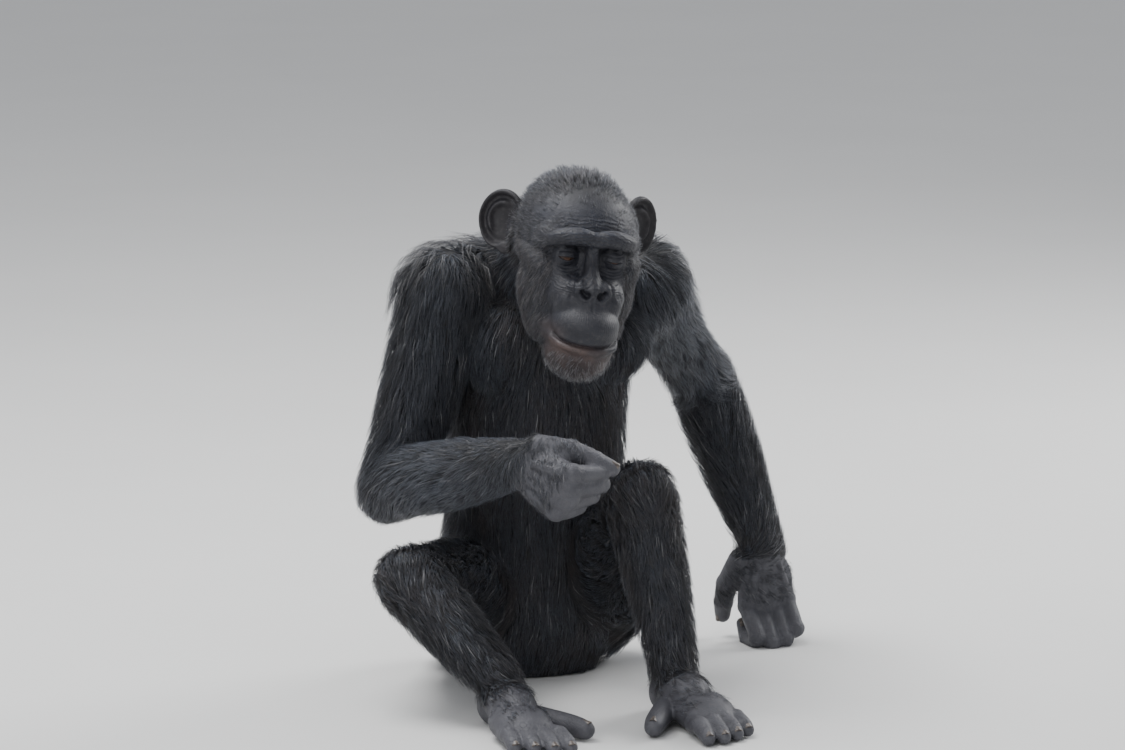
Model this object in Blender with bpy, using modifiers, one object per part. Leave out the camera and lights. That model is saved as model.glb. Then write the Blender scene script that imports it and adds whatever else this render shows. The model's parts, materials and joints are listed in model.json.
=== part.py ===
"""A life-size still model of an adult chimpanzee that sits on the floor and holds one hand up.

Metres, +Z up. The animal faces -Y, so its right side is at -X. Each sub-part is one named object.
The body is modelled whole from joints and muscle shapes, fused, and then parted with thin cuts.
"""

import math

import bpy
import bmesh
import numpy as np
from mathutils import Matrix, Vector
from mathutils.bvhtree import BVHTree

GAP = 0.0003
FLOOR = 0.0
BODY_VOXEL = 0.0055
FINE_VOXEL = 0.0026
EAR_VOXEL = 0.0016

# Joints of the skeleton, at the middle of each joint
HEAD_AT = Vector((0.004, -0.145, 0.516))
HEAD_TURN = (
    Matrix.Rotation(math.radians(-1.5), 3, "Z")
    @ Matrix.Rotation(math.radians(7.5), 3, "Y")
    @ Matrix.Rotation(math.radians(5), 3, "X")
)
SHOULDERS = {"right": Vector((-0.114, -0.050, 0.456)), "left": Vector((0.112, -0.045, 0.456))}
ELBOWS = {"right": Vector((-0.187, -0.080, 0.243)), "left": Vector((0.232, 0.110, 0.312))}
WRISTS = {"right": Vector((-0.097, -0.300, 0.304)), "left": Vector((0.300, 0.086, 0.112))}
HIPS = {"right": Vector((-0.070, 0.0, 0.090)), "left": Vector((0.070, 0.0, 0.090))}
KNEES = {"right": Vector((-0.188, -0.170, 0.148)), "left": Vector((0.072, -0.200, 0.238))}
ANKLES = {"right": Vector((-0.110, -0.270, 0.050)), "left": Vector((0.092, -0.262, 0.050))}
SIGN = {"right": -1, "left": 1}

# The torso from the seat up: middle (y, z), half width, half depth
TORSO = [
    (0.030, 0.000, 0.080, 0.075),
    (0.026, 0.045, 0.108, 0.096),
    (0.022, 0.095, 0.109, 0.103),
    (0.012, 0.160, 0.102, 0.100),
    (-0.002, 0.230, 0.099, 0.100),
    (-0.004, 0.300, 0.102, 0.101),
    (0.000, 0.360, 0.107, 0.100),
    (-0.002, 0.410, 0.105, 0.092),
    (-0.012, 0.450, 0.088, 0.076),
    (-0.030, 0.482, 0.062, 0.058),
]
NECK = [
    (0, -0.010, 0.440, 0.066), (0, -0.050, 0.476, 0.064), (0.003, -0.095, 0.498, 0.058),
    (0.005, -0.135, 0.511, 0.054),
]
UPPER_ARM_RADII = {"right": (0.045, 0.045, 0.042, 0.038, 0.036), "left": (0.044, 0.040, 0.036, 0.034, 0.035)}
FOREARM_RADII = (0.037, 0.040, 0.038, 0.032, 0.027)
THIGH_RADII = (0.072, 0.067, 0.056, 0.047, 0.042)
SHIN_RADII = (0.040, 0.041, 0.037, 0.029, 0.025)

# An eye's middle in the head's own frame, the eyeball, and the opening between the lids
EYE_AT = (0.0273, -0.0815, 0.0087)
EYE_RADIUS = 0.0118
EYE_OPENING = (0.0108, 0.0200, 0.0036)

# Where each ear grows from the head and which way it points, in the head's own frame
EAR_ROOTS = {"right": (-0.063, 0.006, 0.008), "left": (0.063, 0.006, 0.015)}
EAR_OUT = {"right": Vector((-0.74, 0.66, 0.08)), "left": Vector((0.78, 0.62, 0.08))}

# The hand from the wrist: along the palm, towards the thumb and towards the back of the hand
PALM_LENGTH = 0.072
FINGER_SPREAD = (0.026, 0.0088, -0.0088, -0.025)
FINGER_BONES = ((0.044, 0.032, 0.021), (0.049, 0.036, 0.022), (0.047, 0.034, 0.022), (0.040, 0.028, 0.020))
FINGER_RADIUS = 0.0102

# Planes of the thin cuts: a point and the direction towards the piece further from the trunk
NECK_TO_HEAD = (Vector((0, -0.103, 0.507)), Vector((0, -0.85, 0.53)))
CHEST_TO_NECK = (Vector((0, -0.052, 0.490)), Vector((0, -0.68, 0.733)))
WAIST = (Vector((0, 0, 0.262)), Vector((0, 0, 1)))
SHOULDER_CUTS = {
    "right": (Vector((-0.103, -0.030, 0.402)), Vector((-0.990, 0, 0.140)), 0.120, 0.140),
    "left": (Vector((0.100, -0.022, 0.425)), Vector((0.985, 0, 0.174)), 0.130, 0.115),
}
HIP_CUTS = {
    "right": (Vector((-0.117, -0.074, 0.112)), Vector((-0.70, -0.70, 0.10)), 0.105, 0.100),
    "left": (Vector((0.076, -0.118, 0.150)), Vector((0.10, -0.98, -0.12)), 0.100, 0.100),
}

# The coat's locks: sizes, then height over the skin and width along a lock as shares
LOCK_LENGTH = 0.102
LOCK_WIDTH = 0.060
LOCK_THICKNESS = 0.0060
LOCK_SPACING = 0.047
LOCK_HEIGHTS = (-0.0070, 0.0055, 0.0130)
LOCK_WIDTHS = (0.62, 1.00, 0.70)
LOCK_CLEARANCE = 0.0010

TRIANGLES = {"body": 2600, "head": 2000, "ear": 330, "hand": 760, "foot": 460}

BLACK_COAT = (0.016, 0.015, 0.016)
GREY_SKIN = (0.050, 0.046, 0.048)
HAND_SKIN = (0.075, 0.070, 0.072)
IRIS = (0.120, 0.045, 0.012)


def remove_everything():
    """Empties the file of the objects it opened with."""
    for obj in list(bpy.data.objects):
        bpy.data.objects.remove(obj, do_unlink=True)


def collection(name):
    """A new collection in the scene."""
    made = bpy.data.collections.new(name)
    bpy.context.scene.collection.children.link(made)
    return made


def material(name, colour, roughness):
    """A plain Principled material."""
    made = bpy.data.materials.new(name)
    made.use_nodes = True
    shader = made.node_tree.nodes["Principled BSDF"]
    shader.inputs["Base Color"].default_value = (*colour, 1)
    shader.inputs["Roughness"].default_value = roughness
    shader.inputs["Metallic"].default_value = 0
    return made


def smooth_path(points, count):
    """Points of a Catmull-Rom curve through the given ones, of any number of dimensions."""
    known = np.array(points, float)
    padded = np.vstack([2 * known[0] - known[1], known, 2 * known[-1] - known[-2]])
    spots = np.linspace(0, len(known) - 1 - 1e-9, count)
    span = spots.astype(int)
    t = (spots - span)[:, None]
    a, b, c, d = (padded[span + k] for k in range(4))
    return 0.5 * (2 * b + (c - a) * t + (2 * a - 5 * b + 4 * c - d) * t**2 + (3 * b - a - 3 * c + d) * t**3)


def add_ball(shapes, centre, radii, turn=None):
    """Adds an ellipsoid to the shapes. turn is a 3x3 matrix whose columns are its axes."""
    place = Matrix.Translation(centre) @ (turn or Matrix.Identity(3)).to_4x4()
    stretch = Matrix.Diagonal((*radii, 1))
    bmesh.ops.create_uvsphere(shapes, u_segments=28, v_segments=18, radius=1, matrix=place @ stretch)


def add_limb(shapes, points, radii, side=(1, 0, 0), flat=1.0, around=20, along=22):
    """Adds a round-ended limb: rings carried along a smooth path. flat scales a ring across the side axis."""
    path = smooth_path([(*p, r) for p, r in zip(points, radii)], along)
    middle, radius = path[:, :3], path[:, 3]
    ahead = np.gradient(middle, axis=0)
    ahead /= np.linalg.norm(ahead, axis=1)[:, None]
    across = np.array(side, float) - ahead * (ahead @ np.array(side, float))[:, None]
    across /= np.linalg.norm(across, axis=1)[:, None]
    third = np.cross(ahead, across)
    rings = []
    for end, inwards in ((0, -1), (None, 0), (-1, 1)):
        if end is None:
            rings += [(m, r, a, b) for m, r, a, b in zip(middle, radius, across, third)]
            continue
        turns = (75, 50, 25) if end == 0 else (25, 50, 75)
        for degrees in turns:
            lean = math.radians(degrees)
            centre = middle[end] + inwards * ahead[end] * radius[end] * math.sin(lean)
            rings.append((centre, radius[end] * math.cos(lean), across[end], third[end]))
    turn = np.linspace(0, 2 * math.pi, around, endpoint=False)
    verts = [
        [shapes.verts.new(c + r * (math.cos(t) * a + flat * math.sin(t) * b)) for t in turn]
        for c, r, a, b in rings
    ]
    for low, high in zip(verts, verts[1:]):
        for k in range(around):
            n = (k + 1) % around
            shapes.faces.new((low[k], low[n], high[n], high[k]))
    shapes.faces.new(verts[0][::-1])
    shapes.faces.new(verts[-1])


def add_torso(shapes):
    """Adds the trunk as a loft of rounded sections, from the seat to the root of the neck."""
    path = smooth_path(TORSO, 34)
    turn = np.linspace(0, 2 * math.pi, 40, endpoint=False)
    verts = []
    for y, z, wide, deep in path:
        verts.append([shapes.verts.new((wide * math.cos(t), y + deep * math.sin(t), z)) for t in turn])
    for low, high in zip(verts, verts[1:]):
        for k in range(len(turn)):
            n = (k + 1) % len(turn)
            shapes.faces.new((low[k], low[n], high[n], high[k]))
    shapes.faces.new(verts[0][::-1])
    shapes.faces.new(verts[-1])


def new_object(name, mesh):
    """Links a mesh to the scene as a named object."""
    obj = bpy.data.objects.new(name, mesh)
    bpy.context.scene.collection.objects.link(obj)
    return obj


def applied(obj):
    """Replaces the object's mesh by the one its modifiers make."""
    graph = bpy.context.evaluated_depsgraph_get()
    made = bpy.data.meshes.new_from_object(obj.evaluated_get(graph))
    obj.modifiers.clear()
    obj.data = made
    return obj


def fused(name, shapes, voxel, smoothing):
    """One closed skin round all the shapes, without their inner walls."""
    bmesh.ops.recalc_face_normals(shapes, faces=shapes.faces)
    mesh = bpy.data.meshes.new(name)
    shapes.to_mesh(mesh)
    shapes.free()
    obj = new_object(name, mesh)
    remesh = obj.modifiers.new("skin", "REMESH")
    remesh.mode = "VOXEL"
    remesh.voxel_size = voxel
    remesh.adaptivity = 0
    smooth = obj.modifiers.new("soften", "SMOOTH")
    smooth.factor = 0.5
    smooth.iterations = smoothing
    return applied(obj)


def thinned(obj, triangles):
    """The same skin with about that many triangles, fewest where it is flattest."""
    obj.data.calc_loop_triangles()
    decimate = obj.modifiers.new("thin", "DECIMATE")
    decimate.ratio = triangles / len(obj.data.loop_triangles)
    return applied(obj)


def coordinates(obj):
    """The vertices and their normals as two arrays."""
    count = len(obj.data.vertices)
    points, normals = np.empty(count * 3), np.empty(count * 3)
    obj.data.vertices.foreach_get("co", points)
    obj.data.vertices.foreach_get("normal", normals)
    return points.reshape(-1, 3), normals.reshape(-1, 3)


def distance_to(points, path):
    """How far each point is from a line through the path's points."""
    line = smooth_path(path, 4 * len(path)) if len(path) > 2 else np.array(path, float)
    nearest = np.full(len(points), 1e9)
    for a, b in zip(line, line[1:]):
        ab = b - a
        t = np.clip((points - a) @ ab / (ab @ ab), 0, 1)
        nearest = np.minimum(nearest, np.linalg.norm(points - a - t[:, None] * ab, axis=1))
    return nearest


def laid_on_face(points, path):
    """A path's (x, z) points of the head's frame, each at the foremost of the given points there."""
    local = (points - np.array(HEAD_AT)) @ np.array(HEAD_TURN)
    local = local[local[:, 1] < -0.045]
    laid = []
    for x, z in path:
        away = np.hypot(local[:, 0] - x, local[:, 2] - z) + 0.05 * local[:, 1]
        laid.append(tuple(head_place((x, local[np.argmin(away), 1], z))))
    return laid


def carved_strokes(head, strokes):
    """Presses each path into the head's skin, or raises it where the depth is negative."""
    for path, reach, depth in strokes:
        points, normals = coordinates(head)
        weight = np.exp(-((distance_to(points, laid_on_face(points, path)) / reach) ** 2))
        head.data.vertices.foreach_set("co", (points - normals * (depth * weight)[:, None]).ravel())
        head.data.update()
    return head


def kept_side(obj, point, towards, name=None):
    """A copy of the object with only what lies beyond the plane that way, closed with a flat face."""
    normal = Vector(towards).normalized()
    copy = new_object(name or obj.name, obj.data.copy())
    work = bmesh.new()
    work.from_mesh(copy.data)
    everything = [*work.verts, *work.edges, *work.faces]
    cut = bmesh.ops.bisect_plane(
        work, geom=everything, dist=1e-6, plane_co=Vector(point), plane_no=normal, clear_inner=True
    )
    rim = [e for e in cut["geom_cut"] if isinstance(e, bmesh.types.BMEdge)]
    if rim:
        bmesh.ops.triangle_fill(work, use_beauty=True, edges=rim, normal=-normal)
    bmesh.ops.recalc_face_normals(work, faces=work.faces)
    largest_island(work)
    work.to_mesh(copy.data)
    work.free()
    return copy


def largest_island(work):
    """Deletes everything but the largest connected surface."""
    groups = islands(work)
    for group in groups[1:]:
        bmesh.ops.delete(work, geom=group, context="VERTS")


def one_body(obj):
    """The object with only its largest closed surface."""
    work = bmesh.new()
    work.from_mesh(obj.data)
    largest_island(work)
    work.to_mesh(obj.data)
    work.free()
    return obj


def islands(work):
    """The connected groups of vertices, largest first."""
    work.verts.ensure_lookup_table()
    seen, groups = set(), []
    for first in work.verts:
        if first in seen:
            continue
        seen.add(first)
        group, front = [first], [first]
        while front:
            vert = front.pop()
            for edge in vert.link_edges:
                other = edge.other_vert(vert)
                if other not in seen:
                    seen.add(other)
                    group.append(other)
                    front.append(other)
        groups.append(group)
    return sorted(groups, key=len, reverse=True)


def parted(obj, plane, near_name, far_name):
    """Splits the object at a plane into two, a thin gap apart."""
    point, towards = plane
    step = Vector(towards).normalized() * (GAP / 2)
    near = kept_side(obj, point - step, -Vector(towards), near_name)
    far = kept_side(obj, point + step, towards, far_name)
    bpy.data.objects.remove(obj)
    return near, far


def cutting_disc(point, towards, radius_across, radius_up):
    """A thin oval plate that parts a limb where it grows from the trunk."""
    normal = Vector(towards).normalized()
    up = (Vector((0, 0, 1)) - normal * normal.z).normalized()
    turn = Matrix((up.cross(normal), up, normal)).transposed().to_4x4()
    plate = bmesh.new()
    place = Matrix.Translation(point) @ turn @ Matrix.Diagonal((radius_across, radius_up, 1, 1))
    bmesh.ops.create_cone(
        plate, cap_ends=True, segments=28, radius1=1, radius2=1, depth=GAP, matrix=place
    )
    mesh = bpy.data.meshes.new("plate")
    plate.to_mesh(mesh)
    plate.free()
    return new_object("plate", mesh)


def combined(target, tools, operation, solver="EXACT"):
    """Applies one Boolean of a group of closed meshes to the target and removes them."""
    group = bpy.data.collections.new("tools")
    for tool in tools:
        group.objects.link(tool)
    step = target.modifiers.new("combine", "BOOLEAN")
    step.operation = operation
    step.operand_type = "COLLECTION"
    step.collection = group
    step.solver = solver
    applied(target)
    for tool in tools:
        bpy.data.objects.remove(tool)
    bpy.data.collections.remove(group)
    return target


def split_by_island(obj, anchors):
    """Makes each loose piece its own object, named by the anchor point that it lies nearest to."""
    work = bmesh.new()
    work.from_mesh(obj.data)
    bmesh.ops.triangulate(work, faces=work.faces)
    made = {}
    groups = [g for g in islands(work) if len(g) > 40]
    for group in groups:
        inside = set(group)
        index = {v: i for i, v in enumerate(group)}
        faces = [[index[v] for v in f.verts] for f in work.faces if f.verts[0] in inside]
        points = np.array([v.co[:] for v in group])
        near = {
            name: np.linalg.norm(points - np.array(spot), axis=1).min() for name, spot in anchors.items()
        }
        name = min(near, key=near.get)
        mesh = bpy.data.meshes.new(name)
        mesh.from_pydata(points.tolist(), [], faces)
        made[name] = new_object(name, mesh)
    work.free()
    bpy.data.objects.remove(obj)
    return made


def head_place(spot):
    """A point of the head's own frame, whose origin is midway between the ear holes, in the body's frame."""
    return HEAD_AT + HEAD_TURN @ Vector(spot)


def both_sides(spot):
    """A point of the right side of the head and its mirror image."""
    x, y, z = spot
    return ((-x, y, z), (x, y, z))


def add_arm(shapes, side):
    """Adds the shoulder, upper arm and forearm of one side."""
    sign = SIGN[side]
    shoulder, elbow, wrist = SHOULDERS[side], ELBOWS[side], WRISTS[side]
    add_ball(shapes, shoulder + Vector((sign * 0.007, 0.004, -0.005)), (0.0495, 0.0535, 0.055))
    add_ball(shapes, (sign * 0.066, 0.050, 0.405), (0.044, 0.046, 0.072))
    add_ball(shapes, (sign * 0.058, -0.074, 0.398), (0.062, 0.034, 0.052))
    outer_end = shoulder + Vector((0, 0.012, 0.004))
    trapezius = [(sign * 0.02, -0.035, 0.470), (sign * 0.07, -0.018, 0.466), outer_end]
    add_limb(shapes, trapezius, (0.050, 0.044, 0.044), side=(0, 1, 0))
    along = [shoulder.lerp(elbow, t) for t in (0, 0.25, 0.5, 0.75, 1)]
    add_limb(shapes, along, UPPER_ARM_RADII[side], side=(0, 1, 0))
    along = [elbow.lerp(wrist, t) for t in (0, 0.2, 0.45, 0.75, 1)]
    add_limb(shapes, along, FOREARM_RADII, side=(0, 0, 1) if side == "right" else (0, 1, 0))
    back_of_elbow = (elbow - shoulder).normalized() - (wrist - elbow).normalized()
    add_ball(shapes, elbow + back_of_elbow.normalized() * 0.012, (0.035, 0.035, 0.035))


def add_leg(shapes, side):
    """Adds the buttock, thigh, knee and shin of one side."""
    sign = SIGN[side]
    hip, knee, ankle = HIPS[side], KNEES[side], ANKLES[side]
    add_ball(shapes, (sign * 0.060, 0.035, 0.068), (0.070, 0.078, 0.072))
    along = [hip.lerp(knee, t) for t in (0, 0.25, 0.5, 0.75, 1)]
    add_limb(shapes, along, THIGH_RADII)
    along = [knee.lerp(ankle, t) for t in (0, 0.2, 0.45, 0.75, 1)]
    add_limb(shapes, along, SHIN_RADII)
    front = (knee - hip).normalized() + (knee - ankle).normalized()
    add_ball(shapes, knee + front.normalized() * 0.006, (0.039, 0.039, 0.039))


def hand_frame(side):
    """The hand's directions: along the palm, towards the thumb, and towards the back of the hand."""
    if side == "right":
        along, thumb = Vector((0.60, -0.68, -0.40)), Vector((0.05, -0.10, 0.99))
    else:
        along, thumb = Vector((0.06, -0.10, -0.993)), Vector((-0.985, -0.10, -0.05))
    along.normalize()
    thumb = (thumb - along * along.dot(thumb)).normalized()
    back = along.cross(thumb) * -SIGN[side]
    return along, thumb, back


def add_hand(shapes, side):
    """Adds the palm, the four fingers, bent joint by joint, and the thumb."""
    along, thumb, back = hand_frame(side)
    wrist = WRISTS[side]
    turn = Matrix((along, thumb, back)).transposed()

    def spot(a, t, b):
        return wrist + along * a + thumb * t + back * b

    add_limb(
        shapes,
        [ELBOWS[side].lerp(wrist, t) for t in (0.45, 0.75, 1)],
        FOREARM_RADII[2:],
        side=(0, 0, 1) if side == "right" else (0, 1, 0),
    )
    add_ball(shapes, spot(0.006, 0.0, 0.0), (0.026, 0.029, 0.022), turn)
    add_ball(shapes, spot(0.042, -0.001, 0.0), (0.044, 0.034, 0.0165), turn)
    add_ball(shapes, spot(0.030, 0.022, -0.008), (0.028, 0.015, 0.014), turn)
    bends = (76, 78, 40) if side == "right" else (-34, 118, 62)
    for k, (spread, bones) in enumerate(zip(FINGER_SPREAD, FINGER_BONES)):
        joint = spot(PALM_LENGTH - 0.004 * abs(k - 1.2), spread, 0.001)
        path = [joint - along * 0.02, joint]
        angle = 0
        for bone, bend in zip(bones, bends):
            angle += math.radians(bend + (4 * k if side == "right" else 0))
            joint = joint + (along * math.cos(angle) - back * math.sin(angle)) * bone
            path.append(joint)
        add_limb(shapes, path, [FINGER_RADIUS * s for s in (0.9, 1.12, 1.05, 0.95, 0.80)], around=12)
    if side == "right":
        steps = ((0.85, 0.20, -0.48, 0.036), (0.86, -0.04, -0.50, 0.028), (0.74, -0.16, -0.65, 0.022))
    else:
        steps = ((0.80, 0.30, -0.50, 0.036), (0.88, 0.10, -0.45, 0.026), (0.90, -0.05, -0.45, 0.018))
    place = Vector((0.012, 0.027, -0.006))
    path = [spot(*place)]
    for a, t, b, length in steps:
        place = place + Vector((a, t, b)).normalized() * length
        path.append(spot(*place))
    add_limb(shapes, path, (0.0140, 0.0135, 0.0120, 0.0100), around=12)


def add_foot(shapes, side):
    """Adds the heel, sole, four toes and the big toe, which stands off like a thumb."""
    ankle, knee = ANKLES[side], KNEES[side]
    ahead = Vector((0.12, -0.993, 0)) if side == "left" else Vector((0.10, -0.995, 0))
    inner = Vector((ahead.y, -ahead.x, 0)) * SIGN[side]
    turn = Matrix((ahead, inner, Vector((0, 0, 1)))).transposed()
    ground = Vector((ankle.x, ankle.y, 0))

    def spot(a, m, up):
        return ground + ahead * a + inner * m + Vector((0, 0, up))

    add_limb(shapes, [knee.lerp(ankle, t) for t in (0.45, 0.75, 1)], SHIN_RADII[2:])
    add_ball(shapes, spot(-0.013, 0, 0.022), (0.0295, 0.023, 0.0245), turn)
    heel_cord = [spot(-0.027, 0, 0.026), spot(-0.017, 0, 0.050), ankle.lerp(knee, 0.30)]
    add_limb(shapes, heel_cord, (0.0155, 0.0140, 0.0185))
    add_ball(shapes, spot(0.030, 0, 0.030), (0.050, 0.027, 0.026), turn)
    add_ball(shapes, spot(0.072, -0.004, 0.019), (0.052, 0.034, 0.0225), turn)
    for k, (spread, length) in enumerate(((0.020, 0.050), (0.004, 0.054), (-0.012, 0.050), (-0.027, 0.042))):
        start = 0.104 - 0.005 * k
        path = [
            spot(start, spread, 0.014),
            spot(start + 0.4 * length, spread * 1.1, 0.0165),
            spot(start + 0.8 * length, spread * 1.18, 0.0125),
            spot(start + length, spread * 1.2, 0.0085),
        ]
        add_limb(shapes, path, (0.0115, 0.0105, 0.0098, 0.0088), around=12)
    joints = ((0.030, 0.020, 0.017), (0.058, 0.040, 0.0155), (0.080, 0.055, 0.014), (0.094, 0.064, 0.012))
    path = [spot(*joint) for joint in joints]
    add_limb(shapes, path, (0.0150, 0.0140, 0.0130, 0.0115), around=12)


def add_head(shapes):
    """Adds the skull, brow, cheeks, muzzle, nose and jaw from shapes in the head's own frame."""
    turn = HEAD_TURN

    def ball(spot, radii):
        add_ball(shapes, head_place(spot), radii, turn)

    def bar(path, radii, **more):
        add_limb(shapes, [head_place(p) for p in path], radii, **more)

    ball((0, -0.010, 0.024), (0.0677, 0.079, 0.0608))
    ball((0, 0.020, 0.004), (0.058, 0.048, 0.046))
    bar(
        [(-0.0535, -0.0570, 0.0160), (-0.0410, -0.0860, 0.0290), (-0.019, -0.0975, 0.0350),
         (0, -0.0980, 0.0325), (0.019, -0.0975, 0.0350), (0.0410, -0.0860, 0.0290),
         (0.0535, -0.0570, 0.0160)],
        (0.0072, 0.0100, 0.0104, 0.0092, 0.0104, 0.0100, 0.0072), side=(0, 0, 1), along=40,
    )
    ball((0, -0.060, -0.012), (0.045, 0.034, 0.046))
    ball((0, -0.092, -0.036), (0.036, 0.040, 0.032))
    ball((0, -0.108, -0.060), (0.0390, 0.042, 0.026))
    ball((0, -0.108, -0.079), (0.0400, 0.0385, 0.017))
    ball((0, -0.110, -0.091), (0.0345, 0.034, 0.0180))
    ball((0, -0.089, -0.094), (0.0372, 0.050, 0.0330))
    ball((0, -0.052, -0.074), (0.047, 0.046, 0.030))
    for sign in (-1, 1):
        ball((sign * 0.0450, -0.056, -0.006), (0.0200, 0.030, 0.0190))
        ball((sign * 0.0335, -0.042, -0.034), (0.0305, 0.050, 0.0505))
        ball((sign * 0.0320, -0.050, -0.070), (0.0220, 0.050, 0.0275))
        ball((sign * 0.0285, -0.073, -0.016), (0.0215, 0.023, 0.0250))
        ball((sign * 0.0400, -0.064, 0.0260), (0.0190, 0.024, 0.0165))
        bar([(sign * 0.054, -0.055, -0.003), (sign * 0.058, -0.025, 0.0), (sign * 0.054, 0.002, 0.004)],
            (0.012, 0.011, 0.012))
        ball((sign * 0.0273, -0.0785, 0.0095), (0.0150, 0.0150, 0.0145))
        ball((sign * 0.0145, -0.1165, -0.0190), (0.0138, 0.0120, 0.0098))
        ball((sign * 0.024, -0.096, -0.034), (0.019, 0.028, 0.024))
    bar([(0, -0.092, 0.022), (0, -0.0985, 0.004), (0, -0.112, -0.0105), (0, -0.124, -0.0205)],
        (0.0070, 0.0080, 0.0092, 0.0080), along=18)


def face_strokes():
    """Grooves and ridges of the face as (path, reach, depth). A path is (x, z) points seen from its front."""
    mouth = [(-0.0375, -0.0700), (-0.0320, -0.0745), (-0.0180, -0.0782), (0, -0.0795),
             (0.0180, -0.0782), (0.0320, -0.0745), (0.0375, -0.0700)]
    strokes = [
        (mouth, 0.0028, 0.0050),
        ([(x, z + 0.0070) for x, z in mouth[1:-1]], 0.0045, -0.0018),
        ([(x, z - 0.0070) for x, z in mouth[1:-1]], 0.0045, -0.0022),
        ([(0, -0.020), (0, -0.030)], 0.0022, 0.0010),
        ([(-0.0035, 0.0330), (0.0035, 0.0330)], 0.0040, 0.0014),
    ]
    for s in (-1, 1):
        strokes += [
            ([(s * 0.0080, -0.0245), (s * 0.0130, -0.0218)], 0.0032, 0.0060),
            ([(s * 0.0120, -0.0060), (s * 0.0215, -0.0140), (s * 0.0250, -0.0280)], 0.0038, 0.0024),
            ([(s * 0.0135, 0.0010), (s * 0.0150, 0.0170)], 0.0040, 0.0024),
            ([(s * 0.0160, -0.0060), (s * 0.0290, -0.0080), (s * 0.0400, -0.0020)], 0.0030, 0.0014),
            ([(s * 0.0300, -0.0230), (s * 0.0410, -0.0420), (s * 0.0435, -0.0620)], 0.0050, 0.0018),
        ]
    return strokes


def ball_object(name, centre, radii, turn=None, segments=(20, 14)):
    """An ellipsoid as an object of its own."""
    shape = bmesh.new()
    place = Matrix.Translation(centre) @ (turn or Matrix.Identity(3)).to_4x4() @ Matrix.Diagonal((*radii, 1))
    bmesh.ops.create_uvsphere(shape, u_segments=segments[0], v_segments=segments[1], radius=1, matrix=place)
    mesh = bpy.data.meshes.new(name)
    shape.to_mesh(mesh)
    shape.free()
    return new_object(name, mesh)


def make_head():
    """The head with its face, cut at the neck, with an opening between the lids and a seat for each eye."""
    shapes = bmesh.new()
    add_head(shapes)
    add_neck(shapes)
    head = carved_strokes(fused("head", shapes, FINE_VOXEL, 6), face_strokes())
    point, towards = NECK_TO_HEAD
    skin = kept_side(head, point + towards.normalized() * GAP / 2, towards)
    bpy.data.objects.remove(head)
    skin.name = "head"
    thinned(skin, TRIANGLES["head"])
    scalp = new_object("scalp", skin.data.copy())
    openings = []
    for spot in both_sides(EYE_AT):
        x, y, z = spot
        seat = EYE_RADIUS + GAP
        openings.append(ball_object("seat", head_place(spot), (seat,) * 3, HEAD_TURN, (16, 10)))
        between_lids = head_place((x, y - 0.012, z - 0.0010))
        openings.append(ball_object("lids", between_lids, EYE_OPENING, HEAD_TURN, (16, 8)))
    return one_body(combined(skin, openings, "DIFFERENCE")), scalp


def add_neck(shapes):
    """Adds the neck as a round limb."""
    add_limb(shapes, [spot for *spot, _ in NECK], [radius for *_, radius in NECK])


def make_eye(name, spot):
    """An eyeball that fills its seat."""
    return ball_object(name, head_place(spot), (EYE_RADIUS - GAP,) * 3, HEAD_TURN, (14, 8))


def make_ear(name, sign, head):
    """One ear: a cupped shell with a rolled rim, an inner fold and a lobe, cut clear of the head."""
    side = name.removeprefix("ear_")
    out = HEAD_TURN @ EAR_OUT[side].normalized()
    up = (HEAD_TURN @ Vector((sign * -0.10, 0.05, 1.0))).normalized()
    out = (out - up * out.dot(up)).normalized()
    face = out.cross(up) * sign
    frame = Matrix((out, up, face)).transposed()
    root = head_place(EAR_ROOTS[side])

    def spot(o, u, f):
        return root + out * o + up * u + face * f

    shell = ball_object("shell", spot(0.022, 0.012, 0), (0.0280, 0.0335, 0.0110), frame, (28, 18))
    scoop = ball_object("scoop", spot(0.021, 0.013, 0.0105), (0.0225, 0.0275, 0.0125), frame, (28, 18))
    combined(shell, [scoop], "DIFFERENCE")
    shapes = bmesh.new()
    shapes.from_mesh(shell.data)
    bpy.data.objects.remove(shell)
    rim = [
        spot(0.022 + 0.0265 * math.cos(t), 0.012 + 0.0320 * math.sin(t), 0.0042)
        for t in np.radians(np.linspace(215, -62, 12))
    ]
    add_limb(shapes, rim, np.linspace(0.0042, 0.0032, 12), side=tuple(face), along=40, around=10)
    fold = [
        spot(0.012, 0.034, 0.001), spot(0.028, 0.030, 0.002),
        spot(0.035, 0.014, 0.002), spot(0.026, -0.004, 0.003),
    ]
    add_limb(shapes, fold, (0.0022, 0.0030, 0.0030, 0.0022), side=tuple(face), around=10)
    add_ball(shapes, spot(0.014, -0.018, 0.001), (0.0095, 0.0080, 0.0050), frame)
    add_ball(shapes, spot(0.006, 0.000, 0.006), (0.0060, 0.0065, 0.0050), frame)
    add_ball(shapes, spot(0.002, 0.010, -0.002), (0.014, 0.026, 0.010), frame)
    ear = thinned(fused(name, shapes, EAR_VOXEL, 3), TRIANGLES["ear"])
    cutter = new_object("cutter", head.data.copy())
    points, normals = coordinates(cutter)
    cutter.data.vertices.foreach_set("co", (points + normals * GAP * 1.3).ravel())
    cutter.data.update()
    return one_body(combined(ear, [cutter], "DIFFERENCE"))


def bend_plane(before, joint, after):
    """The plane that halves the angle at a joint."""
    return joint, ((joint - before).normalized() + (after - joint).normalized()).normalized()


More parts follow.
